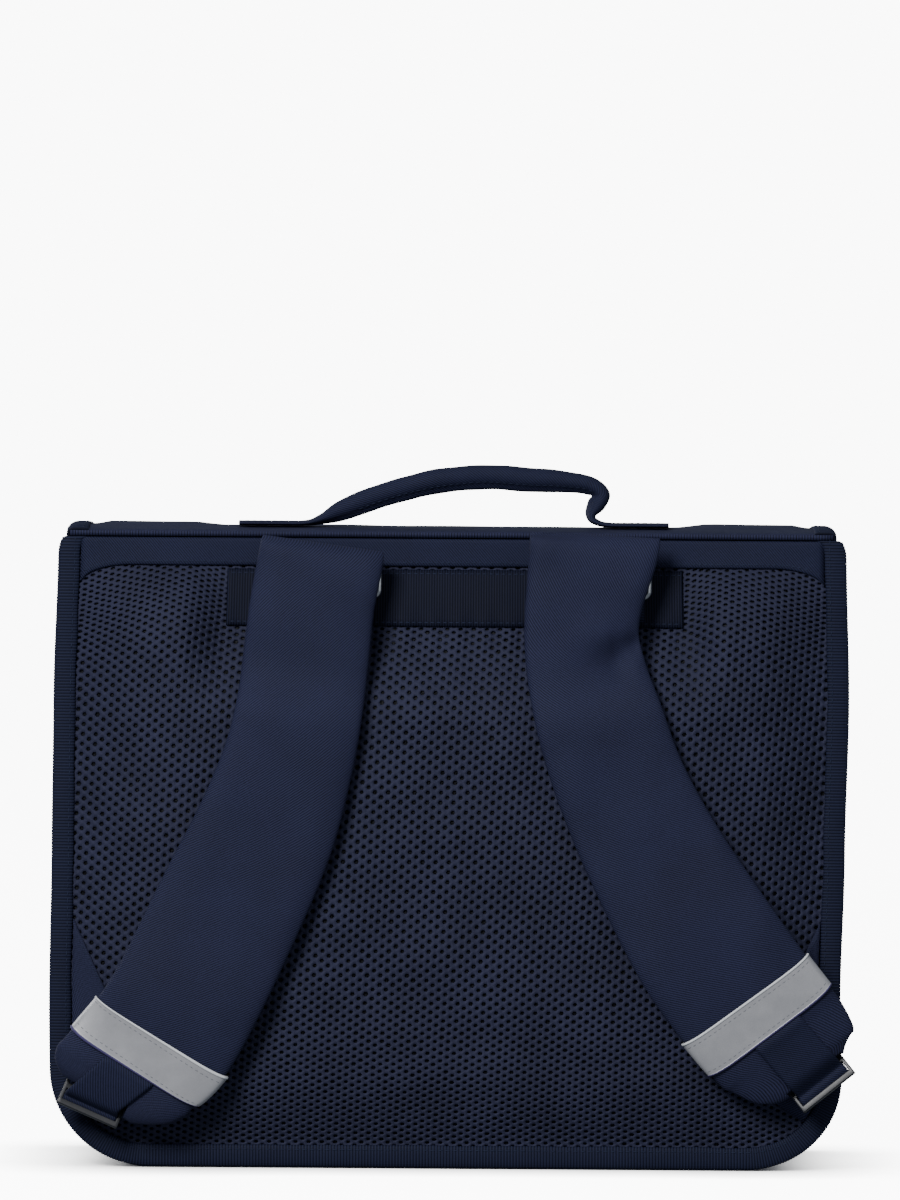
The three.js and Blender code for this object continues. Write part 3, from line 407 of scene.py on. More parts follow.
@dataclass(frozen=True)
class Seam:
    """A row of stitches: one stitch is modelled and copied along a line."""

    length: float = 2.6
    pitch: float = 3.6
    thick: float = 0.55
    probe: float = 0.5

    def stitch(self) -> tuple[Array, list]:
        """Models one stitch lying along X.

        Returns:
            Its points in millimetres and its faces.
        """
        piece = primitive(bpy.ops.mesh.primitive_uv_sphere_add, segments=6, ring_count=4, radius=0.5)
        piece.data.transform(Matrix.Rotation(math.pi / 2, 4, "Y"))
        piece.data.transform(Matrix.Diagonal((self.length, self.thick, self.thick * 0.8, 1)))
        points = np.array([v.co[:] for v in piece.data.vertices])
        faces = [list(p.vertices) for p in piece.data.polygons]
        mesh = piece.data
        bpy.data.objects.remove(piece)
        bpy.data.meshes.remove(mesh)
        return points, faces

    def along(self, name: str, lines: list[tuple[Array, Array]]) -> bpy.types.Object:
        """Sews stitches along lines.

        Args:
            name: the piece's name.
            lines: pairs of a line's points and the outward directions there.

        Returns:
            One piece that holds all the stitches.
        """
        shape, shape_faces = self.stitch()
        points, faces = [], []
        for line, outward in lines:
            run = lengths(line)
            spots = np.arange(self.pitch / 2, run[-1], self.pitch)
            way = unit(follow(spots + self.probe, run, line) - follow(spots - self.probe, run, line))
            side = unit(np.cross(unit(follow(spots, run, outward)), way))
            for m, x, y, z in zip(follow(spots, run, line), way, side, np.cross(way, side)):
                first = len(points) * len(shape)
                points.append(m + shape @ np.stack([x, y, z]))
                faces += [[first + n for n in face] for face in shape_faces]
        return write_piece(name, np.concatenate(points), faces)


def seam_line(point: Callable[[Array, Array, Array], Array], across: Array, down: Array,
              off: Array | float) -> tuple[Array, Array]:
    """A line for stitches over a panel."""
    line = point(across, down, off)
    return line, point(across, down, off + 1) - line


# Finishes


class Slot(Enum):
    """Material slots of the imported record."""

    TWILL = "twill"
    MESH = "mesh"
    GROSGRAIN = "grosgrain"
    TAPE = "reflective_tape"
    PLASTIC = "plastic"
    METAL = "metal"


class NodeSheet:
    """A material's node tree with a Principled shader."""

    def __init__(self, name: str) -> None:
        """Starts the material.

        Args:
            name: the material's name.
        """
        self.material = bpy.data.materials.new(name)
        self.material.use_nodes = True
        self.tree = self.material.node_tree
        self.tree.nodes.clear()
        self.shader = self.node("ShaderNodeBsdfPrincipled")
        out = self.node("ShaderNodeOutputMaterial")
        self.link(self.shader.outputs["BSDF"], out.inputs["Surface"])

    def node(self, kind: str, inputs: dict | None = None, **settings: object) -> bpy.types.Node:
        """Adds a node.

        Args:
            kind: the node's type.
            inputs: values of its sockets.
            settings: its settings.

        Returns:
            The node.
        """
        node = self.tree.nodes.new(kind)
        for key, value in settings.items():
            setattr(node, key, value)
        for key, value in (inputs or {}).items():
            node.inputs[key].default_value = value
        return node

    def link(self, source: bpy.types.NodeSocket, target: bpy.types.NodeSocket) -> None:
        """Joins two sockets."""
        self.tree.links.new(source, target)

    def coordinates(self, flat: bool, turn: float = 0.0) -> bpy.types.NodeSocket:
        """Coordinates in millimetres.

        Args:
            flat: reads the flat pattern instead of the object's space.
            turn: turn of the pattern about its third axis, in radians.

        Returns:
            The coordinates' socket.
        """
        source = self.node("ShaderNodeTexCoord").outputs["UV" if flat else "Object"]
        place = self.node("ShaderNodeMapping", {"Scale": (1 / MM, 1 / MM, 1 / MM), "Rotation": (0, 0, turn)})
        self.link(source, place.inputs["Vector"])
        return place.outputs["Vector"]

    def noise(self, place: bpy.types.NodeSocket, size: float, detail: float = 2.0) -> bpy.types.NodeSocket:
        """Soft noise.

        Args:
            place: coordinates in millimetres.
            size: rough size of its spots.
            detail: the noise's detail.

        Returns:
            Its value's socket.
        """
        node = self.node("ShaderNodeTexNoise", {"Scale": 1 / size, "Detail": detail, "Roughness": 0.6})
        self.link(place, node.inputs["Vector"])
        return node.outputs["Fac"]

    def wave(self, place: bpy.types.NodeSocket, pitch: float, way: str = "X",
             uneven: float = 0.0) -> bpy.types.NodeSocket:
        """Even ridges.

        Args:
            place: coordinates in millimetres.
            pitch: from ridge to ridge.
            way: the axis that the ridges follow one another along.
            uneven: how far the ridges waver.

        Returns:
            Their height's socket.
        """
        inputs = {"Scale": math.pi / 10 / pitch, "Distortion": uneven, "Detail": 1.0, "Detail Scale": 2.0}
        node = self.node("ShaderNodeTexWave", inputs, wave_type="BANDS", bands_direction=way)
        self.link(place, node.inputs["Vector"])
        return node.outputs["Fac"]

    def maths(self, kind: str, *values: bpy.types.NodeSocket | float) -> bpy.types.NodeSocket:
        """One sum on values or sockets.

        Args:
            kind: the operation.
            values: what it works on.

        Returns:
            The result's socket.
        """
        node = self.node("ShaderNodeMath", operation=kind)
        for k, value in enumerate(values):
            if isinstance(value, bpy.types.NodeSocket):
                self.link(value, node.inputs[k])
            else:
                node.inputs[k].default_value = value
        return node.outputs["Value"]

    def total(self, *parts: tuple[bpy.types.NodeSocket, float], offset: float = 0.0) -> bpy.types.NodeSocket:
        """Weighted sum of sockets.

        Args:
            parts: sockets with their weights.
            offset: value that the sum starts from.

        Returns:
            The sum's socket.
        """
        result = offset
        for socket, weight in parts:
            result = self.maths("MULTIPLY_ADD", socket, weight, result)
        return result

    def paint(self, share: bpy.types.NodeSocket, low: Colour, high: Colour) -> None:
        """Colours the surface between two tones.

        Args:
            share: socket of the share.
            low: colour at 0.
            high: colour at 1.
        """
        ramp = self.node("ShaderNodeValToRGB")
        for element, colour in zip(ramp.color_ramp.elements, (low, high)):
            element.color = colour
        self.link(share, ramp.inputs["Fac"])
        self.link(ramp.outputs["Color"], self.shader.inputs["Base Color"])

    def roughen(self, share: bpy.types.NodeSocket, low: float, high: float) -> None:
        """Sets the surface's roughness between two values.

        Args:
            share: socket of the share.
            low: roughness at 0.
            high: roughness at 1.
        """
        node = self.node("ShaderNodeMapRange", {"To Min": low, "To Max": high})
        self.link(share, node.inputs["Value"])
        self.link(node.outputs["Result"], self.shader.inputs["Roughness"])

    def bump(self, height: bpy.types.NodeSocket, strength: float, depth: float) -> None:
        """Relief of the surface.

        Args:
            height: the relief's socket.
            strength: share of it that shows.
            depth: its depth.
        """
        node = self.node("ShaderNodeBump", {"Strength": strength, "Distance": depth * MM})
        self.link(height, node.inputs["Height"])
        self.link(node.outputs["Normal"], self.shader.inputs["Normal"])

    def set(self, **values: object) -> None:
        """Sets the shader's own sockets."""
        for key, value in values.items():
            self.shader.inputs[key.replace("_", " ")].default_value = value


def srgb(red: int, green: int, blue: int) -> Colour:
    """Linear colour of a screen colour."""
    r, g, b = (((c / 255 + 0.055) / 1.055) ** 2.4 if c > 10 else c / 255 / 12.92 for c in (red, green, blue))
    return (r, g, b, 1.0)


@dataclass(frozen=True)
class Finish:
    """One procedural finish, its colours between two tones."""

    name: str
    low: Colour
    high: Colour
    slot: Slot

    def lay(self, sheet: NodeSheet) -> None:
        """Lays the finish's nodes."""
        raise NotImplementedError

    def material(self) -> bpy.types.Material:
        """Builds the material.

        Returns:
            The material.
        """
        sheet = NodeSheet(self.name)
        self.lay(sheet)
        return sheet.material


@dataclass(frozen=True)
class Twill(Finish):
    """Woven twill: fine slanting ridges with a faint cross thread and an uneven dye."""

    low: Colour = srgb(4, 4, 10)
    high: Colour = srgb(38, 41, 66)
    slot: Slot = Slot.TWILL
    turn: float = 0.7
    pitch: float = 1.05
    depth: float = 0.16

    def lay(self, sheet: NodeSheet) -> None:
        """Lays the ridges, the cross thread, the dye and the fuzz.

        Args:
            sheet: the node tree.
        """
        place, solid = sheet.coordinates(True, self.turn), sheet.coordinates(False)
        ridge = sheet.wave(place, self.pitch, "X", 0.35)
        thread = sheet.wave(place, self.pitch * 0.62, "Y", 0.25)
        dye, fuzz = sheet.noise(solid, 38.0, 3.0), sheet.noise(solid, 0.9, 3.0)
        weave = sheet.total((ridge, 0.72), (thread, 0.28))
        sheet.paint(sheet.total((weave, 0.8), (dye, 0.3), (fuzz, 0.3), offset=-0.22), self.low, self.high)
        sheet.roughen(dye, 0.62, 0.8)
        sheet.bump(sheet.total((weave, 1.0), (fuzz, 0.5)), 0.75, self.depth)
        sheet.set(Specular_IOR_Level=0.08)


@dataclass(frozen=True)
class Knit(Finish):
    """Spacer mesh's yarn: satin threads with fine fibres."""

    name: str = "knit_yarn"
    low: Colour = srgb(14, 15, 25)
    high: Colour = srgb(41, 43, 64)
    slot: Slot = Slot.MESH

    def lay(self, sheet: NodeSheet) -> None:
        """Lays the uneven dye and the fibres.

        Args:
            sheet: the node tree.
        """
        solid = sheet.coordinates(False)
        cloud, fibre = sheet.noise(solid, 30.0, 3.0), sheet.noise(solid, 0.55, 3.0)
        sheet.paint(sheet.total((cloud, 0.55), (fibre, 0.5)), self.low, self.high)
        sheet.roughen(fibre, 0.58, 0.84)
        sheet.bump(fibre, 0.7, 0.22)
        sheet.set(Specular_IOR_Level=0.09)


@dataclass(frozen=True)
class MeshFace(Finish):
    """Spacer mesh where its holes are small and hidden: dark holes drawn in the flat pattern."""

    name: str = "mesh_face"
    low: Colour = srgb(3, 4, 8)
    high: Colour = srgb(28, 33, 54)
    slot: Slot = Slot.MESH
    pitch: float = 3.6

    def lay(self, sheet: NodeSheet) -> None:
        """Lays the holes and the fibres.

        Args:
            sheet: the node tree.
        """
        cells = sheet.node("ShaderNodeTexVoronoi", {"Scale": 1 / self.pitch, "Randomness": 0.12}, feature="F1")
        sheet.link(sheet.coordinates(True), cells.inputs["Vector"])
        yarn = sheet.node("ShaderNodeMapRange", {"From Min": 0.2, "From Max": 0.42})
        sheet.link(cells.outputs["Distance"], yarn.inputs["Value"])
        share, fibre = yarn.outputs["Result"], sheet.noise(sheet.coordinates(False), 0.6, 3.0)
        sheet.paint(share, self.low, self.high)
        sheet.roughen(fibre, 0.5, 0.75)
        sheet.bump(sheet.total((share, 1.0), (fibre, 0.3)), 0.9, 0.5)
        sheet.set(Specular_IOR_Level=0.12)


@dataclass(frozen=True)
class Grosgrain(Finish):
    """Ribbed tape and webbing: fine threads across the ribs."""

    name: str = "grosgrain"
    low: Colour = srgb(2, 2, 6)
    high: Colour = srgb(30, 34, 54)
    slot: Slot = Slot.GROSGRAIN
    rib: float = 0.0
    way: str = "Y"

    def lay(self, sheet: NodeSheet) -> None:
        """Lays the threads, the ribs, the dye and the fuzz.

        Args:
            sheet: the node tree.
        """
        place, solid = sheet.coordinates(True), sheet.coordinates(False)
        thread = sheet.wave(place, 0.55, "X", 0.3)
        dye, fuzz = sheet.noise(solid, 25.0, 3.0), sheet.noise(solid, 0.7, 3.0)
        height = sheet.total((thread, 0.5), (fuzz, 0.5))
        if self.rib:
            height = sheet.total((height, 0.35), (sheet.wave(place, self.rib, self.way), 0.9))
        sheet.paint(sheet.total((height, 0.6), (dye, 0.2)), self.low, self.high)
        sheet.roughen(dye, 0.55, 0.72)
        sheet.bump(height, 0.6, 0.15)
        sheet.set(Specular_IOR_Level=0.05)


@dataclass(frozen=True)
class Tape(Finish):
    """Retroreflective tape: grey, with the grain of its fine beads."""

    name: str = "reflective_tape"
    low: Colour = srgb(112, 112, 116)
    high: Colour = srgb(145, 145, 148)
    slot: Slot = Slot.TAPE
    roughness: float = 0.42

    def lay(self, sheet: NodeSheet) -> None:
        """Lays the beads and the wear.

        Args:
            sheet: the node tree.
        """
        solid = sheet.coordinates(False)
        beads, wear = sheet.noise(solid, 0.35, 2.0), sheet.noise(solid, 9.0, 4.0)
        sheet.paint(sheet.total((beads, 0.4), (wear, 0.6)), self.low, self.high)
        sheet.roughen(wear, self.roughness - 0.08, self.roughness + 0.1)
        sheet.bump(beads, 0.35, 0.08)
        sheet.set(Metallic=0.15, Specular_IOR_Level=0.5)


@dataclass(frozen=True)
class Plastic(Finish):
    """Moulded black plastic with a faint satin grain."""

    name: str = "moulded_plastic"
    low: Colour = srgb(9, 10, 14)
    high: Colour = srgb(18, 20, 27)
    slot: Slot = Slot.PLASTIC

    def lay(self, sheet: NodeSheet) -> None:
        """Lays the grain and the marks of use.

        Args:
            sheet: the node tree.
        """
        solid = sheet.coordinates(False)
        grain, marks = sheet.noise(solid, 0.5, 2.0), sheet.noise(solid, 6.0, 4.0)
        sheet.paint(marks, self.low, self.high)
        sheet.roughen(marks, 0.34, 0.55)
        sheet.bump(grain, 0.25, 0.06)
        sheet.set(Specular_IOR_Level=0.32, Coat_Weight=0.04, Coat_Roughness=0.3)


@dataclass(frozen=True)
class Metal(Finish):
    """Plated wire, polished, with fine wear."""

    name: str = "plated_wire"
    low: Colour = srgb(120, 122, 126)
    high: Colour = srgb(160, 162, 166)
    slot: Slot = Slot.METAL

    def lay(self, sheet: NodeSheet) -> None:
        """Lays the wear.

        Args:
            sheet: the node tree.
        """
        wear = sheet.noise(sheet.coordinates(False), 2.5, 5.0)
        sheet.paint(wear, self.low, self.high)
        sheet.roughen(wear, 0.12, 0.34)
        sheet.bump(wear, 0.15, 0.05)
        sheet.set(Metallic=1.0)


@dataclass(frozen=True)
class Ground:
    """Plain pale floor, evenly bright, with a painted contact shadow: its glow is dimmed by ambient occlusion near
    the bag.
    """

    name: str = "pale_floor"
    tone: Colour = (0.93, 0.93, 0.93, 1.0)
    glow: float = 10.0
    painted_shadow_reach: float = 0.055
    falloff: float = 2.0

    def material(self) -> bpy.types.Material:
        """Builds the material.

        Returns:
            The material.
        """
        sheet = NodeSheet(self.name)
        # Painted shadow: the floor's glow is darkened wherever ambient occlusion finds the bag close by.
        near = sheet.node("ShaderNodeAmbientOcclusion", {"Distance": self.painted_shadow_reach})
        shade = sheet.maths("POWER", near.outputs["AO"], self.falloff)
        sheet.link(sheet.maths("MULTIPLY", shade, self.glow), sheet.shader.inputs["Emission Strength"])
        sheet.set(Base_Color=self.tone, Roughness=0.9, Emission_Color=self.tone)
        return sheet.material


class Wardrobe:
    """Builds each finish once and puts it on pieces."""

    def __init__(self) -> None:
        """Starts with no material built."""
        self.built: dict[str, bpy.types.Material] = {}

    def dress(self, piece: bpy.types.Object, *finishes: Finish) -> bpy.types.Object:
        """Puts finishes on a piece, which rides on the root body.

        Args:
            piece: the piece.
            finishes: its finishes, the main one first.

        Returns:
            The piece.
        """
        piece.data.materials.clear()
        for finish in finishes:
            if finish.name not in self.built:
                self.built[finish.name] = finish.material()
            piece.data.materials.append(self.built[finish.name])
        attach(piece, "root")
        LOG.info("%s: %d faces", piece.name, len(piece.data.polygons))
        return piece


TWILL_STRAP = {-1: Twill("twill_strap_left", turn=0.75), 1: Twill("twill_strap_right", turn=-0.75)}
TWILL_BODY = Twill("twill_body")
TWILL_BAND = Twill("twill_band", low=srgb(4, 4, 9), high=srgb(31, 35, 59))
KNIT = Knit()
MESH_FACE = MeshFace()
PAD_FOAM = MeshFace("pad_under_net", low=srgb(2, 3, 5), high=srgb(6, 7, 12), pitch=1.6)
RIBBED = Grosgrain(rib=1.45)
ANCHOR_CLOTH = Grosgrain("anchor_band_cloth", low=srgb(0, 0, 1), high=srgb(22, 25, 42), rib=1.25, way="X")
WEBBING = Grosgrain("webbing", rib=1.3)
THREAD = Grosgrain("thread", low=srgb(20, 24, 38), high=srgb(44, 50, 72))
TAPE = Tape()
# Painted highlight: a lighter grey laid along the tape's upper folded edge, standing in for the light that the fold
# catches.
TAPE_EDGE_HIGHLIGHT = Tape("tape_thread", low=srgb(150, 152, 155), high=srgb(196, 198, 200), roughness=0.7)
TAPE_EDGE = Tape("tape_edge", low=srgb(30, 26, 58), high=srgb(52, 44, 92), roughness=0.7)
TAPE_STITCH = Tape("tape_stitch", low=srgb(74, 76, 82), high=srgb(112, 114, 120), roughness=0.7)
PLASTIC = Plastic()
METAL = Metal()


# The soft body


@dataclass(frozen=True)
class BodyForm:
    """The bag's boxy soft body: where its panels, seams and back pad lie."""

    width: float = 380.0
    height: float = 302.0
    depth: float = 150.0
    corner: float = 46.0
    seam_lift: float = 0.8
    side_ease: float = 1.5
    back_t: float = 4.0
    front_t: float = 3.0
    flange: float = 10.5
    margin: float = 1.5
    crown: float = 22.0
    side_run: float = 88.0
    side_fall: float = 0.6
    base_run: float = 165.0
    base_fall: float = 0.6
    top_run: float = 40.0
    lip: float = 0.08
    pinch: float = 0.68
    pinch_side: float = 22.0
    pinch_base: float = 46.0
    top_band: float = 13.5
    anchor_drop: float = 15.0
    anchor_h: float = 27.0
    anchor_w: float = 219.0
    anchor_shift: float = 1.5
    front_h: float = 276.0
    front_bulge: float = 4.0
    ease_up: tuple[float, ...] = (0.0, 0.27, 0.5, 0.74, 1.0)
    ease_left: tuple[float, ...] = (0.0, 0.8, 0.3, 0.0, -1.3)
    ease_right: tuple[float, ...] = (0.0, -1.6, -0.5, 0.5, -0.7)

    @property
    def back_y(self) -> float:
        """Depth of the back panel's inner face."""
        return -(self.depth / 2 - self.back_t)

    @property
    def front_y(self) -> float:
        """Depth of the front panel's inner face."""
        return self.depth / 2 - self.front_t

    @property
    def pad_half(self) -> float:
        """Half width of the pad inside its binding."""
        return self.width / 2 - self.flange - self.margin

    @property
    def pad_r(self) -> float:
        """Radius of the pad's lower corners."""
        return self.corner - self.flange - self.margin

    @property
    def pad_end(self) -> float:
        """Place of the pad's lower edge, down from the top seam."""
        return self.height - self.seam_lift - self.flange - self.margin

    @property
    def anchor_end(self) -> float:
        """Place of the anchor band's lower edge."""
        return self.anchor_drop + self.anchor_h

    def body(self, across: Array, down: Array, y: Array) -> Array:
        """A point of the soft body.

        Args:
            across: place across the back.
            down: place down from the top seam.
            y: place along the depth.

        Returns:
            Points, with the soft sides' easing.
        """
        across, down, y = np.broadcast_arrays(*(np.asarray(v, float) for v in (across, down, y)))
        z = self.height - down
        up = np.clip(z / self.height, 0, 1)
        left = eased_table(self.ease_up, self.ease_left, up)
        right = eased_table(self.ease_up, self.ease_right, up)
        ease = self.side_ease * np.where(across < 0, left, right)
        return np.stack([across * (1 + ease / (self.width / 2)), y, z], axis=-1)

    def back(self, across: Array, down: Array, off: Array) -> Array:
        """A point over the back panel's inner face."""
        return self.body(across, down, self.back_y - np.asarray(off, float))

    def front(self, across: Array, down: Array, off: Array) -> Array:
        """A point over the front panel's inner face."""
        return self.body(across, down, self.front_y + np.asarray(off, float))

    def half_at(self, down: Array, half: float, end: float, radius: float) -> Array:
        """Half width of a U-shaped sheet."""
        over = np.clip(np.asarray(down, float) - (end - radius), 0, radius)
        return half - radius + np.sqrt(np.maximum(0, radius * radius - over * over))

    def rim(self, across: Array, down: Array) -> Array:
        """Rounding of a panel's face towards its binding, from 0 to 1."""
        side = np.maximum(0, np.abs(across) - (self.pad_half - self.pad_r))
        base = np.maximum(0, down - (self.pad_end - self.pad_r))
        return rise((self.pad_r - np.hypot(side, base)) / self.pad_r)

    def pressed(self, across: Array, down: Array) -> Array:
        """How far the anchor band presses the pad, from 0 to 1."""
        beside = np.abs(across - self.anchor_shift) - self.anchor_w / 2
        return (1 - smooth(beside, 0, self.pinch_side)) * (1 - smooth(down - self.anchor_end, 0, self.pinch_base))

    def pad_face(self, across: Array, down: Array) -> Array:
        """Height of the pad's smooth face over the panel's inner face."""
        across, down = np.asarray(across, float), np.asarray(down, float)
        side = 1 - self.side_fall * (1 - rise((self.pad_half - np.abs(across)) / self.side_run))
        base = 1 - self.base_fall * (1 - rise((self.pad_end - down) / self.base_run))
        under = down - self.top_band
        head = np.where(
            under < 0,
            self.lip * np.clip(down / self.top_band, 0, 1),
            self.lip + (1 - self.lip) * rise(under / self.top_run),
        )
        squeeze = 1 - self.pinch * self.pressed(across, down)
        return self.back_t + self.crown * self.rim(across, down) * side * base * head * squeeze

    def bulge(self, across: Array, down: Array) -> Array:
        """Bulge of the front panel inside its binding."""
        head = rise((down - (self.height - self.front_h)) / (self.front_h / 4))
        return self.front_bulge * self.rim(across, down) * head


FORM = BodyForm()


@dataclass(frozen=True)
class UPath:
    """A line down one side of a sheet, round its lower corners and up the other side."""

    half: float
    start: float
    end: float
    radius: float

    def sample(self, step: float) -> tuple[Array, Array, Array, Array, Array]:
        """Places along the line.

        Args:
            step: from place to place.

        Returns:
            Across, down, the outward direction's two parts, and the running length.
        """
        side, arc = self.end - self.radius - self.start, math.pi / 2 * self.radius
        base = 2 * (self.half - self.radius)
        total = 2 * side + 2 * arc + base
        run = np.linspace(0, total, int(round(total / step)) + 1)
        near = np.minimum(run, total - run)
        angle = np.clip((near - side) / self.radius, 0, math.pi / 2)
        out_across, out_down = -np.cos(angle), np.sin(angle)
        across = -(self.half - self.radius) + self.radius * out_across + np.maximum(0, near - side - arc)
        down = np.minimum(near, side) + self.start + self.radius * out_down
        mirror = np.where(run > total / 2, -1, 1)
        return across * mirror, down, out_across * mirror, out_down, run


@dataclass
class BackPad:
    """The padded back: a real net of knitted yarn over dark spacer foam, pinched by its bands."""

    form: BodyForm = FORM
    column: float = 3.15
    row: float = 4.75
    hole: float = 1.22
    sink: float = 0.32
    wall: float = 1.7
    skew: float = 0.07
    tuck: float = 7.5
    pucker: float = 12.5
    uneven: float = 0.035
    marks: int = 1200
    waves: Waves = field(default_factory=lambda: Waves(11, 22.0, 70.0))

    def face(self, across: Array, down: Array) -> Array:
        """Height of the net's face, with its puckers and soft waves."""
        form = self.form
        across, down = np.asarray(across, float), np.asarray(down, float)
        edge = form.rim(across, down)
        relief = 0.55 * self.waves.at(across, down) * edge * smooth(down, 20, 60)
        below = hump(down, form.anchor_end + 5, 8)
        inside = 1 - smooth(np.abs(across - form.anchor_shift) - form.anchor_w / 2, -6, 4)
        relief = relief + 0.55 * below * inside * np.sin(across * 2 * math.pi / self.pucker)
        scallop = np.sin(across * 0.55 + down * 0.61) * hump(edge, 0.25, 0.22)
        return form.pad_face(across, down) + relief + 0.25 * scallop * edge - 0.3 * edge

    def squeeze(self, down: Array) -> Array:
        """Share of a row's pitch that is left: the yarn is pressed towards the base and the top."""
        low = smooth(down, 190, 285)
        high = 1 - smooth(down, 22, 60)
        return 1 - 0.36 * low - 0.45 * high

    @property
    def table(self) -> tuple[Array, Array]:
        """Rows of the net, counted from the top seam, and their places down the back."""
        marks = np.linspace(0, self.form.height, self.marks)
        steps = np.diff(marks) / (self.row * self.squeeze(marks[1:]))
        return np.concatenate([[0], np.cumsum(steps)]), marks

    def place(self, column: Array, row: Array) -> tuple[Array, Array]:
        """Place of the net's rows and columns on the back.

        Args:
            column: columns, counted from the middle.
            row: rows, counted from the top seam.

        Returns:
            Places across and down.
        """
        form = self.form
        down = np.interp(row, *self.table)
        across = column * self.column - self.skew * (down - form.height / 2)
        outer = smooth(np.abs(across), form.pad_half - 48, form.pad_half + 4)
        beside = np.maximum(0, np.abs(across - form.anchor_shift) - form.anchor_w / 2)
        return across, down + (1 - smooth(down, 18, 75)) * (9 * outer + 5 * hump(beside, 0, 11))

    def cells(self) -> Array:
        """The net's holes as columns and rows, kept inside the binding.

        Returns:
            Array of shape (holes, 2).
        """
        form, tuck = self.form, self.tuck
        reach, last = int((form.width / 2 + 20) / self.column), int(self.table[0][-1]) + 1
        cells = np.array([(i, k + 0.5 * (i % 2)) for i in range(-reach, reach + 1) for k in range(last)])
        across, down = self.place(*cells.T)
        limit = form.half_at(down, form.pad_half + tuck, form.pad_end + tuck, form.pad_r + tuck)
        return cells[(np.abs(across) < limit) & (down > form.top_band / 2) & (down < form.pad_end + tuck - 1)]

    def build_net(self) -> bpy.types.Object:
        """Knits the net: yarn between shared corners, with a wall down into each hole.

        Returns:
            The net, with open holes.
        """
        form, cells = self.form, self.cells()
        tips = np.array([[0.784, 0], [0.216, 0.5], [-0.216, 0.5], [-0.784, 0], [-0.216, -0.5], [0.216, -0.5]])
        sides = len(tips)
        turn = np.radians(np.arange(sides) * 360 / sides)
        hole = np.stack([np.cos(turn) * self.hole / self.column, np.sin(turn) * self.hole / self.row], axis=1)
        keys: dict[tuple[int, int], int] = {}
        corners, numbers = [], np.zeros((len(cells), sides), int)
        for n, (i, k) in enumerate(cells):
            for c, (di, dk) in enumerate(tips):
                key = (round((i + di) * 1000), round((k + dk) * 2))
                if key not in keys:
                    keys[key] = len(keys)
                    corners.append((i + di, k + dk))
                numbers[n, c] = keys[key]
        draw = np.random.default_rng(5)
        across, down = self.place(*(np.array(corners) + draw.normal(0, self.uneven, (len(corners), 2))).T)
        lift = draw.normal(0, 0.05, len(across))
        points = [form.back(across, down, self.face(across, down) + lift)]
        scale = draw.normal(1, 0.06, (len(cells), 1, 1))
        for radius, depth in ((1.0, self.sink), (0.82, self.wall)):
            spots = cells[:, None] + hole[None] * radius * scale
            across, down = self.place(spots[..., 0].ravel(), spots[..., 1].ravel())
            points.append(form.back(across, down, self.face(across, down) - depth))
        rim = len(corners) + np.arange(len(cells) * sides).reshape(-1, sides)
        floor = rim + len(cells) * sides
        pairs = [(grid, np.roll(grid, -1, axis=1)) for grid in (numbers, rim, floor)]
        faces = []
        for (a, b), (c, d) in zip(pairs, pairs[1:]):
            faces.append(np.stack([a, b, d, c], axis=-1))
        faces = np.stack(faces, axis=2).reshape(-1, 4)
        return write_piece("back_mesh_net", np.concatenate(points), faces.tolist())

    def build_foam(self) -> bpy.types.Object:
        """Shapes the dark foam under the net.

        Returns:
            The closed pad.
        """
        form = self.form
        turn, ease, trim = form.pad_end - form.pad_r, math.pi / 2 * 0.97, 1.8
        arc = (form.pad_r + form.flange - 0.5) * np.sin(np.radians(np.arange(7.5, 90.1, 7.5)))
        down = np.concatenate([np.linspace(0.6, turn, 56), turn + arc])
        share = np.sin(np.linspace(-ease, ease, 73)) / math.sin(ease)
        half = form.half_at(down, form.width / 2 - trim, form.height - form.seam_lift - trim, form.corner - trim)
        across = half[:, None] * share[None]
        rows = down[:, None] + 0 * across
        off = np.maximum(form.back_t - self.wall - 0.3, self.face(across, rows) - self.wall + 0.15)
        return slab_piece("back_pad", form.back(across, rows, off), form.back(across, rows, 0.0))

    def build(self, wardrobe: Wardrobe) -> None:
        """Builds and dresses the pad.

        Args:
            wardrobe: the finishes.
        """
        foam = wardrobe.dress(self.build_foam(), PAD_FOAM)
        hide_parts("back_panel")
        net = wardrobe.dress(self.build_net(), KNIT)


PAD = BackPad()


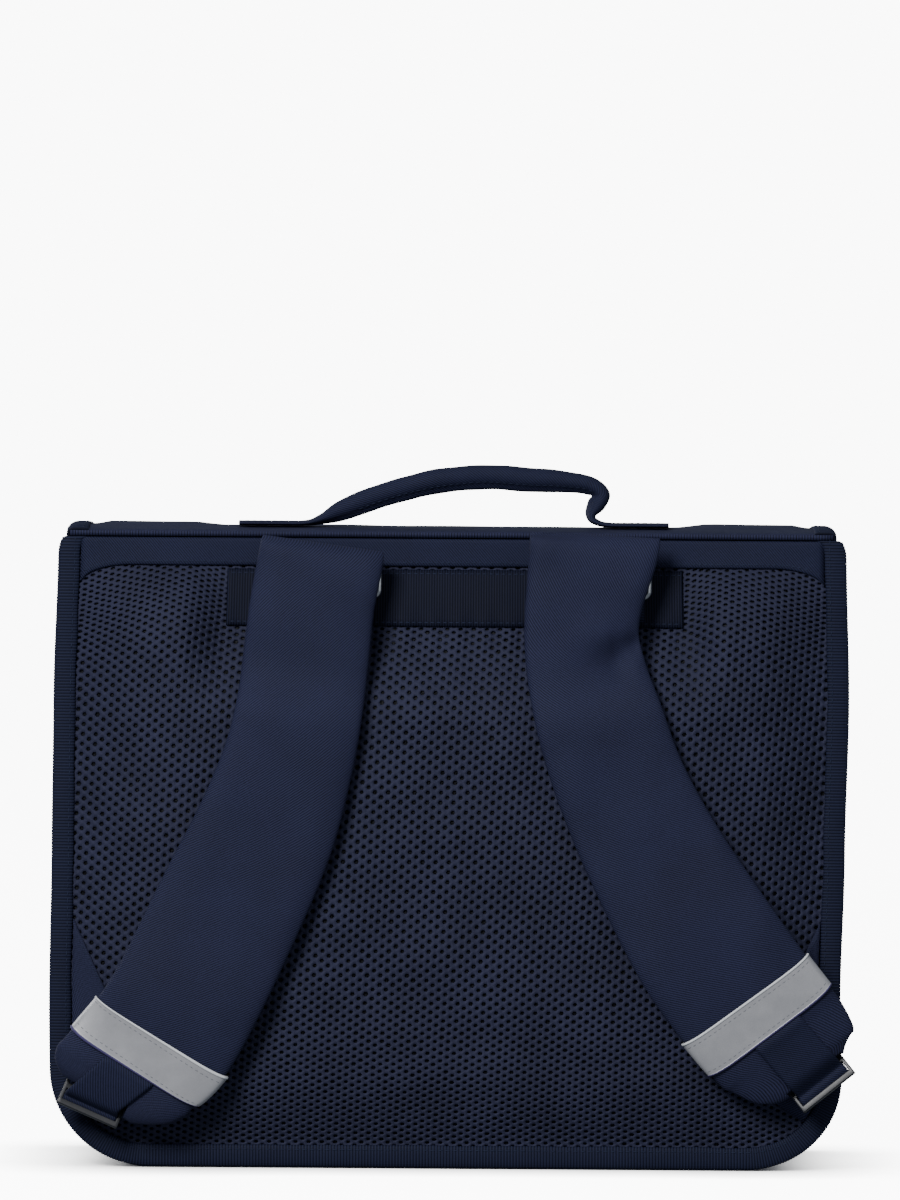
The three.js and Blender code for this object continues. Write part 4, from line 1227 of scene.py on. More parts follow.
@dataclass
class Binding:
    """A ribbed tape folded round a seam."""

    name: str
    node: str
    point: Callable[[Array, Array, Array], Array]
    path: UPath
    thick: float
    turned: float
    flange: float = 10.5
    rib: float = 1.45
    ribbed: float = 0.13
    rounded: float = 0.0
    tape: float = 1.2
    seam_in: float = 2.3
    waves: Waves = field(default_factory=lambda: Waves(3, 14.0, 40.0))

    def section(self) -> tuple[Array, Array]:
        """The folded tape's outer and inner faces, as (outwards, off the panel)."""
        t, f, r = self.thick, self.flange, self.turned
        gap, over = CLEAR, CLEAR + self.tape
        outer = [
            (-f, t + gap + 0.5), (-f + 0.35, t + over - 0.1), (-f + 1.6, t + over + 0.2),
            (-f * 0.6, t + over + 0.3), (-f * 0.35, t + over + 0.25), (-2.2, t + over),
            (-0.9, t + over - 0.35), (-0.15, t + 0.6), (0.05, t * 0.5), (-0.1, -0.2),
            (-0.6, -over + 0.3), (-1.6, -over), (-r * 0.6, -over), (-r, -over + 0.2),
        ]
        inner = [
            (-f, t + gap), (-f + 0.35, t + gap), (-f + 1.6, t + gap), (-f * 0.6, t + gap),
            (-f * 0.35, t + gap), (-2.2, t + gap), (-1.5, t + gap), (-1.2, t + 0.1),
            (-1.2, t * 0.5), (-1.2, 0), (-1.3, -0.2), (-1.8, -gap), (-r * 0.6, -gap), (-r, -gap),
        ]
        return np.array(outer), np.array(inner)

    def build(self, wardrobe: Wardrobe) -> None:
        """Builds and dresses the binding and its stitches.

        Args:
            wardrobe: the finishes.
        """
        across, down, out_a, out_d, run = self.path.sample(self.rib / 2)
        outer, inner = self.section()
        ways = np.gradient(outer, axis=0)
        normals = unit(np.stack([-ways[:, 1], ways[:, 0]], axis=1))
        normals *= np.where((normals * (outer - inner)).sum(axis=1) < 0, -1, 1)[:, None]
        rib = np.where(np.arange(len(run)) % 2 == 0, -self.ribbed, self.ribbed)
        waver = 0.22 * self.waves.at(run, 0 * run)
        edge = hump(outer[:, 0], -self.flange, 3.0)
        pulled = self.rounded * (1 - np.sqrt(rise(np.minimum(run, run[-1] - run) / 9)))
        grids = []
        for section, ribbed in ((outer, 1.0), (inner, 0.0)):
            ribs = ribbed * rib[:, None, None] * normals[None]
            reach = section[None, :, 0] + ribs[..., 0] + waver[:, None] * edge[None]
            reach = reach - pulled[:, None]
            off = section[None, :, 1] + ribs[..., 1]
            a, d = (place[:, None] + reach * out[:, None] for place, out in ((across, out_a), (down, out_d)))
            grids.append(self.point(a, d, off))
        wide = lengths(np.c_[inner, np.zeros(len(inner))])
        long = np.arange(len(run)) * self.rib / 2
        flat = np.stack(np.broadcast_arrays(wide[None], long[:, None]), axis=2)
        piece = wardrobe.dress(slab_piece(self.name, *grids, flat), RIBBED)
        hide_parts(self.node)
        reach, off = self.seam_in - self.flange, self.thick + CLEAR + self.tape + 0.35
        line = seam_line(self.point, across + reach * out_a, down + reach * out_d, off)
        wardrobe.dress(Seam().along(f"{self.name}_stitches", [line]), THREAD)


@dataclass
class PadBand:
    """A band sewn across the back, lying on the pad."""

    name: str
    node: str
    left: float
    right: float
    top: Callable[[Array], Array]
    end: Callable[[Array], Array]
    thick: float
    columns: int
    finish: Finish
    ribbed: float = 0.0
    seams: tuple[float, ...] = ()

    def build(self, wardrobe: Wardrobe) -> None:
        """Builds and dresses the band and its stitches.

        Args:
            wardrobe: the finishes.
        """
        share = np.array([0, 0.02, 0.06, 0.14, 0.28, 0.42, 0.58, 0.72, 0.86, 0.94, 0.98, 1])
        across = np.linspace(self.left, self.right, self.columns)[None] + 0 * share[:, None]
        top, end = self.top(across), self.end(across)
        down = top + (end - top) * share[:, None]
        edge = rise(np.minimum(share, 1 - share) / 0.07)[:, None]
        ends = rise(np.minimum(across - self.left, self.right - across) / 1.2)
        rib = self.ribbed * np.where(np.arange(self.columns) % 2 == 0, -1, 1)[None]
        face = PAD.face(across, down)
        off = face + CLEAR + self.thick * (0.45 + 0.55 * edge * ends) + rib
        flat = np.stack([across - self.left, down], axis=2)
        outer = FORM.back(across, down, off)
        piece = slab_piece(self.name, outer, FORM.back(across, down, face - 0.6), flat)
        wardrobe.dress(piece, self.finish)
        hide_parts(self.node)
        lines = []
        for place in self.seams:
            a = np.linspace(self.left + 1.5, self.right - 1.5, 240)
            d = self.top(a) + (self.end(a) - self.top(a)) * place
            lines.append(seam_line(FORM.back, a, d, PAD.face(a, d) + CLEAR + self.thick))
        if lines:
            wardrobe.dress(Seam(length=2.2, pitch=3.0).along(f"{self.name}_stitches", lines), THREAD)


@dataclass
class Gusset:
    """The strip of cloth round the bag's sides and base, drawn in between its seams."""

    thick: float = 2.5
    inset: float = 5.0
    radius: float = 42.0
    sag: float = 4.0
    columns: int = 33
    binding: float = 1.2
    waves: Waves = field(default_factory=lambda: Waves(21, 26.0, 80.0))

    def build(self, wardrobe: Wardrobe, lid: "Flap") -> None:
        """Builds and dresses the strip.

        Args:
            wardrobe: the finishes.
            lid: the flap over it.
        """
        first = FORM.back_y + 2 * CLEAR + self.binding
        last = FORM.front_y - 2 * CLEAR - self.binding
        path = UPath(FORM.width / 2 - self.inset, 0.0, FORM.height, self.radius)
        across, down, out_a, out_d, run = path.sample(4.0)
        y = np.linspace(first, last, self.columns)[None]
        across, down, out_a, out_d = (v[:, None] for v in (across, down, out_a, out_d))
        turn = FORM.height - self.radius
        top = np.maximum(CLEAR, FORM.height - (lid.under(y) - lid.gap))
        depth = np.where(down < turn, top + (turn - top) * down / turn, down)
        middle = np.sin(math.pi * (y - first) / (last - first))
        side = np.sin(math.pi * np.clip(down / FORM.height, 0, 1)) * np.abs(out_a)
        crease = 0.9 * self.waves.at(run[:, None], y) * middle * np.abs(out_a) * smooth(down, -60, 60)
        grids = []
        for reach in (0.0, -self.thick):
            a = across + reach * out_a
            a = a - np.sign(a) * (self.sag * middle * side + crease)
            grids.append(FORM.body(a, depth + reach * out_d, y))
        piece = wardrobe.dress(slab_piece("side_strip", *grids), TWILL_BODY)
        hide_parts("gusset")


@dataclass
class FrontPanel:
    """The hidden front, plain, with a soft bulge."""

    trim: float = 1.5
    waves: Waves = field(default_factory=lambda: Waves(31, 40.0, 120.0))

    def build(self, wardrobe: Wardrobe) -> None:
        """Builds and dresses the panel.

        Args:
            wardrobe: the finishes.
        """
        top = FORM.height - FORM.front_h
        end, radius = FORM.height - FORM.seam_lift - self.trim, FORM.corner - self.trim
        turn = end - radius
        arc = radius * np.sin(np.radians(np.arange(9, 90.1, 9)))
        down = np.concatenate([np.linspace(top, turn, 34), turn + arc])
        share = np.linspace(-1, 1, 49)
        across = FORM.half_at(down, FORM.width / 2 - self.trim, end, radius)[:, None] * share[None]
        rows = down[:, None] + 0 * across
        bulge = FORM.bulge(across, rows) + 0.5 * self.waves.at(across, rows) * FORM.rim(across, rows)
        outer = FORM.front(across, rows, bulge + FORM.front_t)
        inner = FORM.front(across, rows, np.maximum(0, bulge))
        piece = wardrobe.dress(slab_piece("front_cloth", outer, inner), TWILL_BODY)
        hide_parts("front_panel")


@dataclass
class Flap:
    """The lid and its fall: one sheet from the back seam over the top and down the front."""

    width: float = 368.0
    thick: float = 2.5
    radius: float = 40.0
    rise_t: float = 2.0
    drop: float = 230.0
    back: float = 1.5
    gap: float = 4.0
    trim: float = 1.5
    end_lift: float = 1.5
    hang: float = 3.4
    edge_turn: float = 3.0
    waves: Waves = field(default_factory=lambda: Waves(41, 45.0, 140.0))
    # Depth in shares of the bag's, rise in shares of rise_t, fall in shares of drop.
    rows: tuple[tuple[float, float, float], ...] = (
        (-0.5, 0, 0), (-0.465, 0.6, 0), (-0.3, 1, 0), (0, 0.75, 0), (0.3, 0, 0.008), (0.455, 0, 0.036),
        (0.53, 0, 0.1), (0.553, 0, 0.22), (0.56, 0, 0.6), (0.553, 0, 1),
    )

    def __post_init__(self) -> None:
        """Draws the flap's profile."""
        y, up, down = np.array(self.rows, float).T
        z = FORM.height + CLEAR + up * self.rise_t - down * self.drop
        knots = np.stack([y * FORM.depth, z], axis=1)
        knots[0, 0] -= self.back
        self.profile = self.centripetal(knots, 60)
        self.run = lengths(self.profile)
        self.length = float(self.run[-1])

    @staticmethod
    def centripetal(knots: Array, steps: int) -> Array:
        """Smooth line through points, without loops.

        Args:
            knots: the points.
            steps: new spaces between two points.

        Returns:
            The line's points.
        """
        ends = [2 * knots[0] - knots[1], *knots, 2 * knots[-1] - knots[-2]]
        line = []
        for p0, p1, p2, p3 in zip(ends, ends[1:], ends[2:], ends[3:]):
            d0, d1, d2 = (math.sqrt(np.linalg.norm(b - a)) for a, b in ((p0, p1), (p1, p2), (p2, p3)))
            v1 = ((p1 - p0) / d0 - (p2 - p0) / (d0 + d1) + (p2 - p1) / d1) * d1
            v2 = ((p2 - p1) / d1 - (p3 - p1) / (d1 + d2) + (p3 - p2) / d2) * d1
            cube, square = 2 * p1 - 2 * p2 + v1 + v2, 3 * p2 - 3 * p1 - 2 * v1 - v2
            for t in np.linspace(0, 1, steps, endpoint=False):
                line.append(cube * t**3 + square * t**2 + v1 * t + p1)
        return np.array([*line, knots[-1]])

    def under(self, y: Array) -> Array:
        """Height of the lid's inner face."""
        lid = self.profile[self.run < FORM.depth * 1.05]
        return np.interp(y, lid[:, 0], lid[:, 1])

    def point(self, across: Array, along: Array, off: Array) -> Array:
        """A point of the flap.

        Args:
            across: place across it.
            along: place along its profile.
            off: height over its inner face.

        Returns:
            The points.
        """
        across, along, off = np.broadcast_arrays(*(np.asarray(v, float) for v in (across, along, off)))
        y, z = (np.interp(along, self.run, self.profile[:, k]) for k in (0, 1))
        ahead = unit(np.gradient(self.profile, self.run, axis=0))
        way_y, way_z = (np.interp(along, self.run, ahead[:, k]) for k in (0, 1))
        norm = np.maximum(np.hypot(way_y, way_z), 1e-6)
        return np.stack([across, y - way_z / norm * off, z + way_y / norm * off], axis=-1)

    def build(self, wardrobe: Wardrobe) -> None:
        """Builds and dresses the flap and its binding.

        Args:
            wardrobe: the finishes.
        """
        end, radius = self.length - self.trim, self.radius - self.trim
        arc = radius * np.sin(np.radians(np.arange(0, 90.1, 9)))
        along = np.concatenate([np.arange(0, end - radius, 3.5), end - radius + arc])
        share = np.linspace(-1, 1, 61)
        across = FORM.half_at(along, self.width / 2 - self.trim, end, radius)[:, None] * share[None]
        rows = along[:, None] + 0 * across
        free = smooth(rows, 20, 90) * (1 - smooth(np.abs(across), 120, 176))
        ends = smooth(np.abs(across), 108, 125) * (1 - smooth(np.abs(across), 165, 173))
        ends = ends * smooth(rows, 8, 30) * (1 - smooth(rows, 110, 150))
        lift = 0.6 * self.waves.at(across, rows) * free + self.end_lift * ends
        outer, inner = (self.point(across, rows, off + lift) for off in (self.thick, 0.0))
        piece = slab_piece("flap_cloth", outer, inner)
        wardrobe.dress(piece, TWILL_BODY)
        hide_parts("flap")
        path = UPath(self.width / 2, 0.4, self.length, self.radius)

        def over(across: Array, along: Array, off: Array) -> Array:
            """A point of the binding: rounded, hanging at its sides, clear of the back panel's top.

            Args:
                across: place across the flap.
                along: place along its profile.
                off: height over its inner face.

            Returns:
                The points.
            """
            low = -0.1 - 4 * smooth(along, 6, 10)
            side = np.abs(across) - self.width / 2
            hang = self.hang * smooth(side, -6.5, -2.0) * (1 - smooth(along, 4, 10)) * (1 - smooth(off, 0, 1.5))
            turn = self.edge_turn * (1 - np.sqrt(1 - 0.98 * smooth(side, -4.5, 2.4) ** 2)) * smooth(off, 0, 2.5)
            return self.point(across, along, np.maximum(off, low) - hang - turn - 0.5 * smooth(off, 2, 3))

        Binding("flap_edge", "flap_binding", over, path, self.thick, 10.5).build(wardrobe)


@dataclass
class Handle:
    """The rolled carrying handle, folded back on itself at its right end."""

    span: float = 206.0
    shift: float = 1.0
    height: float = 28.5
    thick: float = 9.8
    deep: float = 11.0
    tab_deep: float = 26.0
    tab_thick: float = 2.4
    from_back: float = 25.0
    sides: int = 28
    seam_angle: float = 3.75
    ends: tuple[int, int] = (30, 34)
    tab_rows: int = 9
    inset: float = 3.0
    waves: Waves = field(default_factory=lambda: Waves(51, 9.0, 30.0))
    # Place across, rise, thickness and depth in shares, tilt in degrees.
    rows: tuple[tuple[float, ...], ...] = (
        (-0.5, 0, 0, 0, 0), (-0.36, 0, 0, 0, 0), (-0.312, 0.07, 0.25, 0.55, 16), (-0.257, 0.26, 0.85, 0.95, 22),
        (-0.163, 0.52, 0.95, 1, 19), (-0.055, 0.73, 1, 1, 13), (0.064, 0.83, 1, 1, 2), (0.18, 0.79, 1, 1, -5),
        (0.262, 0.75, 0.85, 1, -10), (0.318, 0.68, 0.72, 1, -32), (0.345, 0.52, 0.72, 1, -82),
        (0.334, 0.33, 0.68, 0.95, -112), (0.32, 0.17, 0.3, 0.8, -100), (0.33, 0.06, 0.1, 0.4, -40),
        (0.37, 0, 0, 0, 0), (0.5, 0, 0, 0, 0),
    )

    def build(self, wardrobe: Wardrobe, lid: Flap) -> None:
        """Builds and dresses the handle and its stitches.

        Args:
            wardrobe: the finishes.
            lid: the flap that carries it.
        """
        y = float(np.interp(self.from_back, lid.run, lid.profile[:, 0]))
        reach = np.linspace(-0.5, 0.5, 9) * self.tab_deep
        base = float(np.max(lid.under(y + reach))) + lid.thick + CLEAR + self.tab_thick / 2
        table = catmull_rows(np.array(self.rows), 9)
        x, up, thick, deep, tilt = table.T
        up, grip = np.maximum(0, up), np.clip(thick, 0, 1)
        thick = (self.tab_thick + (self.thick - self.tab_thick) * grip) / 2
        deep = (self.tab_deep + (self.deep - self.tab_deep) * np.clip(deep, 0, 1)) / 2
        angle = np.linspace(0, 2 * math.pi, self.sides, endpoint=False)
        u = np.sign(np.cos(angle)) * np.abs(np.cos(angle)) ** 0.8
        v = np.sin(angle)
        lean, rise_up = np.sin(np.radians(tilt)), np.cos(np.radians(tilt))
        run = lengths(np.stack([x * self.span, 0 * x, up * self.height], axis=1))
        crease = 1 + 0.035 * grip[:, None] * self.waves.at(run[:, None], angle[None] * 5)
        groove = 1 - 0.16 * grip[:, None] * hump(angle[None], 4.0, 0.14)
        swell = v[None] * thick[:, None] * crease * groove
        swell = swell - 2.0 * grip[:, None] * hump(angle[None], 1.5 * math.pi, 0.75)
        rings = np.stack([
            x[:, None] * self.span + self.shift - lean[:, None] * swell,
            y + u[None] * deep[:, None] * crease * groove,
            base + up[:, None] * self.height + rise_up[:, None] * swell,
        ], axis=-1)
        piece = wardrobe.dress(loft_piece("carrying_handle", rings), TWILL_BAND)
        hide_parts("handle")
        column = int(round(self.seam_angle / (2 * math.pi) * self.sides))
        rolled = rings[self.ends[0] : len(table) - self.ends[1]]
        lines = [(rolled[:, column], rolled[:, column] - rolled.mean(axis=1))]
        for tab in (rings[: self.tab_rows], rings[-self.tab_rows :]):
            a, b = sorted((tab[0, 0, 0], tab[-1, 0, 0]))
            a, b, reach = a + self.inset, b - self.inset, self.tab_deep / 2 - self.inset - 0.2
            box = [(a, -reach), (b, -reach), (b, reach), (a, reach), (a, -reach), (b, reach)]
            path = np.array([(px, y + py, base + self.tab_thick / 2 * 0.8) for px, py in box])
            fine = [np.linspace(p, q, 12, endpoint=False) for p, q in zip(path, path[1:])]
            fine = np.concatenate([*fine, path[-1:]])
            lines.append((fine, np.tile([0.0, 0.0, 1.0], (len(fine), 1))))
        wardrobe.dress(Seam(length=2.2, pitch=3.2, thick=0.5).along("handle_stitches", lines), THREAD)


# Straps and their hardware


def round_section(sides: int, power_u: float, power_v: float) -> tuple[Array, Array]:
    """A closed section with flat faces and round edges, one unit to each side.

    Args:
        sides: points in the section.
        power_u: squareness across.
        power_v: squareness through.

    Returns:
        Across and through, starting at the right edge and passing the outer face first.
    """
    angle = np.linspace(0, 2 * math.pi, sides, endpoint=False)
    c, s = np.cos(angle), np.sin(angle)
    return np.sign(c) * np.abs(c) ** (2 / power_u), np.sign(s) * np.abs(s) ** (2 / power_v)


class Side(Enum):
    """The two sides, as the back is looked at."""

    LEFT = -1
    RIGHT = 1

    @property
    def word(self) -> str:
        """The side's name in node names."""
        return self.name.lower()


@dataclass
class Ribbon:
    """A length of webbing through a few places, with its half width there."""

    name: str
    node: str
    points: Array
    halves: Array
    turned: Sequence[float]
    finish: Finish
    thick: float = 1.3
    steps: int = 5
    columns: int = 21

    def build(self, wardrobe: Wardrobe) -> bpy.types.Object:
        """Builds and dresses the webbing.

        Args:
            wardrobe: the finishes.

        Returns:
            The webbing.
        """
        rows = catmull_rows(np.concatenate([self.points, self.halves], axis=1), self.steps)
        points, halves = rows[:, :3], rows[:, 3:]
        face = unit(np.cross(np.gradient(points, axis=0), halves))
        face = face * (1 if face[0] @ np.asarray(self.turned, float) >= 0 else -1)
        share = np.linspace(-1, 1, self.columns)
        edge = 0.55 + 0.45 * rise((1 - np.abs(share)) / 0.12)[None, :, None]
        middle = points[:, None] + halves[:, None] * share[None, :, None]
        off = face[:, None] * edge * self.thick / 2
        piece = wardrobe.dress(slab_piece(self.name, middle + off, middle - off), self.finish)
        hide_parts(self.node)
        return piece


@dataclass
class Ring:
    """The flat metal ring behind a strap's top, with the webbing on it."""

    side: Side
    place: float
    width: float = 58.0
    height: float = 16.0
    wire: float = 4.0
    bend: float = 2.6
    drop: float = 21.0
    web: float = 1.3
    web_w: float = 50.0
    hanger_leg: float = 12.0
    tab_leg: float = 9.0
    band: float = 1.5

    @property
    def x(self) -> float:
        """Place across the back."""
        return self.place * FORM.width

    @property
    def bar(self) -> float:
        """From the ring's middle to a bar's middle."""
        return (self.height - self.wire) / 2

    @property
    def wrap(self) -> float:
        """Radius of the webbing round a bar."""
        return self.wire / 2 + CLEAR + self.web / 2

    @property
    def z(self) -> float:
        """Height of the ring's middle."""
        return FORM.height - self.drop

    @property
    def off(self) -> float:
        """Height of the ring over the back panel's inner face."""
        x = self.x + np.array([-0.5, 0, 0.5]) * self.web_w
        under = float(np.max(FORM.pad_face(x, FORM.height - (self.z - self.bar - self.hanger_leg))))
        return under + 3 * CLEAR + self.band + self.web / 2 + self.wrap

    @property
    def top(self) -> float:
        """Height that the ring's webbing holds the strap off at."""
        return self.off + self.wrap + self.web / 2 + 1.0

    def hook(self, bar: float, turns: Array, leg: float) -> Array:
        """Line of the webbing round a bar.

        Args:
            bar: the bar's height from the ring's middle.
            turns: angles in degrees, 0 at the viewer's side and 90 above.
            leg: height of the two legs' ends from the bar.

        Returns:
            The line's points.
        """
        y = FORM.back_y - self.off
        points = [(self.x, y + self.wrap, self.z + bar + leg)]
        for turn in np.radians(turns):
            points.append((self.x, y - self.wrap * math.cos(turn), self.z + bar + self.wrap * math.sin(turn)))
        points.append((self.x, y - self.wrap, self.z + bar + leg))
        return np.array(points)

    def build(self, wardrobe: Wardrobe) -> None:
        """Builds and dresses the ring and its webbing.

        Args:
            wardrobe: the finishes.
        """
        word = self.side.word
        ring = primitive(bpy.ops.mesh.primitive_torus_add, major_segments=48, minor_segments=16,
                         major_radius=self.bend, minor_radius=self.wire / 2 - 0.05)
        reach_x, reach_z = (self.width - self.wire) / 2 - self.bend, self.bar - self.bend
        bpy.ops.object.mode_set(mode="EDIT")
        for axis, reach in ((0, reach_x), (1, reach_z)):
            for sign in (-1, 1):
                bpy.ops.mesh.select_all(action="DESELECT")
                work = bmesh.from_edit_mesh(ring.data)
                for vertex in work.verts:
                    vertex.select = sign * vertex.co[axis] > 1e-4
                work.select_flush(True)
                bmesh.update_edit_mesh(ring.data)
                move = [0.0, 0.0, 0.0]
                move[axis] = sign * reach
                bpy.ops.transform.translate(value=move)
        leave_edit()
        place = basis((1, 0, 0), (0, 0, 1), (0, -1, 0), (self.x, FORM.back_y - self.off, self.z))
        place_primitive(ring, f"ring_{word}", place)
        ring.data.shade_smooth()
        wardrobe.dress(ring, METAL)
        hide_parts(f"strap_ring_{word}")
        half = np.array([self.web_w / 2, 0, 0])
        hanger = self.hook(-self.bar, np.linspace(180, 360, 9), -self.hanger_leg)
        tab = self.hook(self.bar, np.linspace(180, 0, 9), self.tab_leg)
        cloth = TWILL_STRAP[self.side.value]
        for name, node, line, finish in (("ring_webbing", "ring_hanger", hanger, WEBBING),
                                         ("strap_fold", "strap_tab", tab, cloth)):
            halves = np.tile(half, (len(line), 1))
            Ribbon(f"{name}_{word}", f"{node}_{word}", line, halves, (0, 1, 0), finish, steps=3).build(wardrobe)


@dataclass
class Buckle:
    """A three-bar plastic buckle and its own directions."""

    side: Side
    place: tuple[float, float, float]
    width: float = 31.3
    thick: float = 2.4
    bar: float = 3.0
    slot: float = 5.2
    rail: float = 1.9
    tilt: float = 20.0
    rest: float = 1.0
    tab: float = 1.6
    web: float = 1.3

    def __post_init__(self) -> None:
        """Works out the buckle's directions and the places of its bars."""
        turn, tilt = math.radians(self.place[2]), math.radians(self.tilt)
        self.along = np.array([math.cos(turn), 0, math.sin(turn)])
        outward = np.array([math.sin(turn), 0, -math.cos(turn)])
        self.ahead = outward * math.cos(tilt) + VIEWER * math.sin(tilt)
        self.off = VIEWER * math.cos(tilt) - outward * math.sin(tilt)
        self.pitch = self.bar + self.slot
        self.hook_r = math.hypot(self.bar, self.thick) / 2 + CLEAR + self.web / 2
        x, z = self.place[0] * FORM.width, self.place[1] * FORM.height
        upper = np.array([x, 0, z]) - outward * self.pitch
        spots = upper + np.outer(np.linspace(-0.5, 0.5, 5) * self.width, self.along)
        under = float(np.max(FORM.pad_face(spots[:, 0], FORM.height - spots[:, 2])))
        height = under + 2 * CLEAR + self.tab + self.rest + self.hook_r + self.web / 2
        self.middle = np.array([x, FORM.back_y - (height + self.pitch * math.sin(tilt)), z])
        self.upper = self.middle - self.ahead * self.pitch
        self.top = height + self.hook_r + self.web / 2 + CLEAR

    def build(self, wardrobe: Wardrobe) -> None:
        """Builds and dresses the buckle.

        Args:
            wardrobe: the finishes.
        """
        half_w, half_h = self.width / 2, 1.5 * self.bar + self.slot
        columns = (-half_w, -half_w + self.rail, half_w - self.rail, half_w)
        low = self.bar / 2
        rows = (-half_h, -half_h + self.bar, -low, low, half_h - self.bar, half_h)
        piece = primitive(bpy.ops.mesh.primitive_grid_add, x_subdivisions=3, y_subdivisions=5, size=2)
        for vertex in piece.data.vertices:
            x, y = round((vertex.co.x + 1) * 1.5), round((vertex.co.y + 1) * 2.5)
            vertex.co = (columns[x], rows[y], -self.thick / 2)
        select_faces(piece, lambda face: abs(face.calc_center_median().x) < half_w / 2
                     and abs(abs(face.calc_center_median().y) - self.pitch / 2) < 1)
        bpy.ops.mesh.delete(type="FACE")
        bpy.ops.mesh.select_all(action="SELECT")
        bpy.ops.mesh.extrude_region_move(TRANSFORM_OT_translate={"value": (0, 0, self.thick)})
        bpy.ops.mesh.select_all(action="SELECT")
        bpy.ops.mesh.normals_make_consistent(inside=False)
        leave_edit()
        bevel(piece, 0.55, 3, 40)
        place_primitive(piece, f"buckle_{self.side.word}", basis(self.along, self.ahead, self.off, self.middle))
        turn_outwards(piece)
        smooth_by_angle(piece, 38)
        wardrobe.dress(piece, PLASTIC)
        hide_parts(f"strap_buckle_{self.side.word}")


@dataclass
class Strap:
    """A padded shoulder strap: twill face, mesh back, tape, loop, buckle and corner tab."""

    side: Side
    ring: Ring
    buckle: Buckle
    loop_turn: float
    rows: tuple[tuple[float, ...], ...]
    dents: tuple[tuple[float, float, float, float], ...] = ()
    width: float = 72.0
    thick: float = 11.0
    ease: float = 1.0
    lean: float = 0.8
    tape_w: float = 20.8
    tape_t: float = 0.9
    tape_row: int = 10
    fine: int = 8
    sides: int = 72
    web: float = 1.3
    loop_w: float = 26.5
    fold: tuple[float, float] = (0.053, 0.958)
    tape_bend: tuple[float, float] = (1.4, 2.2)
    tab_place: tuple[float, float] = (119.0, 24.0)
    tab_edges: tuple[tuple[float, float], ...] = ((58.0, 64.5), (26.0, 47.5))
    skin: BVHTree | None = None

    def __post_init__(self) -> None:
        """Works out the strap's sections."""
        table = catmull_rows(np.array(self.rows), self.fine)
        x, z, wide, thick, top, end, slant = table.T
        x, z = x * FORM.width, z * FORM.height
        run = unit(np.stack([np.gradient(x), np.gradient(z)], axis=1))
        half, through = np.clip(wide, 0.1, 2) * self.width / 2, thick * self.thick / 2
        slant = np.radians(slant)
        over_x = -run[:, 1] * np.cos(slant) - run[:, 0] * np.sin(slant)
        over_z = run[:, 0] * np.cos(slant) - run[:, 1] * np.sin(slant)

        def face_at(share: float) -> Array:
            """Height of the pad under the strap."""
            return FORM.pad_face(x + over_x * half * share, FORM.height - (z + over_z * half * share))

        end = np.clip(end, 0, 1)
        slope = (1 - end) * self.lean * (face_at(0.8) - face_at(-0.8)) / (1.6 * half)
        rest = np.max([face_at(s) - slope * s * half for s in (-0.8, -0.4, 0, 0.4, 0.8)], axis=0)
        over = rest + self.ease + end * (self.buckle.tab + self.web + self.tape_t + 5 * CLEAR)
        held = np.maximum(over, np.maximum(np.clip(top, 0, 1) * self.ring.top, end * self.buckle.top))
        kernel = hump(np.arange(-6, 7), 0, 3.0)
        padded = np.pad(held, 6, mode="edge")
        held = np.maximum(held, np.convolve(padded, kernel / kernel.sum(), mode="valid"))
        self.point = np.stack([x, FORM.back_y - (held + through), z], axis=1)
        self.across = unit(np.stack([over_x, -slope, over_z], axis=1))
        ahead = np.stack([run[:, 0], 0 * x, run[:, 1]], axis=1)
        face = unit(np.cross(self.across, ahead))
        self.face = face * np.where(face[:, 1] > 0, -1, 1)[:, None]
        self.half, self.through = half, through
        self.run = lengths(self.point)
        self.waves = Waves(61 + self.side.value, 24.0, 90.0)
        self.u, self.v = round_section(self.sides, 5.0, 2.3)

    def at(self, place: Array) -> tuple[Array, Array, Array, Array, Array]:
        """The strap's section at places along it."""
        parts = [follow(place, self.run, part) for part in (self.point, self.across, self.face)]
        return (*parts, np.interp(place, self.run, self.half), np.interp(place, self.run, self.through))

    def rings(self, place: Array, grow: Array | float = 0.0) -> Array:
        """Rings of the strap's surface.

        Args:
            place: running lengths.
            grow: how far the rings stand off the strap.

        Returns:
            Points, (rings, sides, 3).
        """
        middle, across, face, half, through = self.at(place)
        grow = np.broadcast_to(np.asarray(grow, float), place.shape)
        u = self.u[None] * (half + grow)[:, None]
        crown = 1 - 0.1 * self.u[None] ** 2 * (self.v[None] > 0)
        v = self.v[None] * crown * through[:, None]
        outer = np.clip(self.v[None] * 1.5, 0, 1)
        inside = 1 - smooth(np.abs(self.u[None]), 0.75, 1.0)
        v = v + 0.5 * self.waves.at(place[:, None], u) * outer * inside * np.clip(through / 4, 0, 1)[:, None]
        for along, aside, deep, wide in self.dents:
            far = ((place[:, None] - along) / (wide * 1.5)) ** 2 + ((u - aside) / wide) ** 2
            v = v - deep * np.exp(-far) * outer
        v = v + np.sign(self.v)[None] * np.clip(np.abs(self.v)[None] * 2, 0, 1) * grow[:, None]
        return middle[:, None] + u[..., None] * across[:, None] + v[..., None] * face[:, None]

    def seam_groove(self, rings: Array, place: Array, depth: float, spot: float) -> Array:
        """Draws the edges in along the seam of the strap's two cloths.

        Args:
            rings: the strap's rings.
            place: their running lengths.
            depth: the groove's depth.
            spot: height of the seam in the section, -1 to 1.

        Returns:
            The rings with the groove.
        """
        middle = self.at(place)[0][:, None]
        near = hump(self.v, spot, 0.16) * (np.abs(self.u) > 0.8)
        return rings - unit(rings - middle) * (depth * near)[None, :, None]

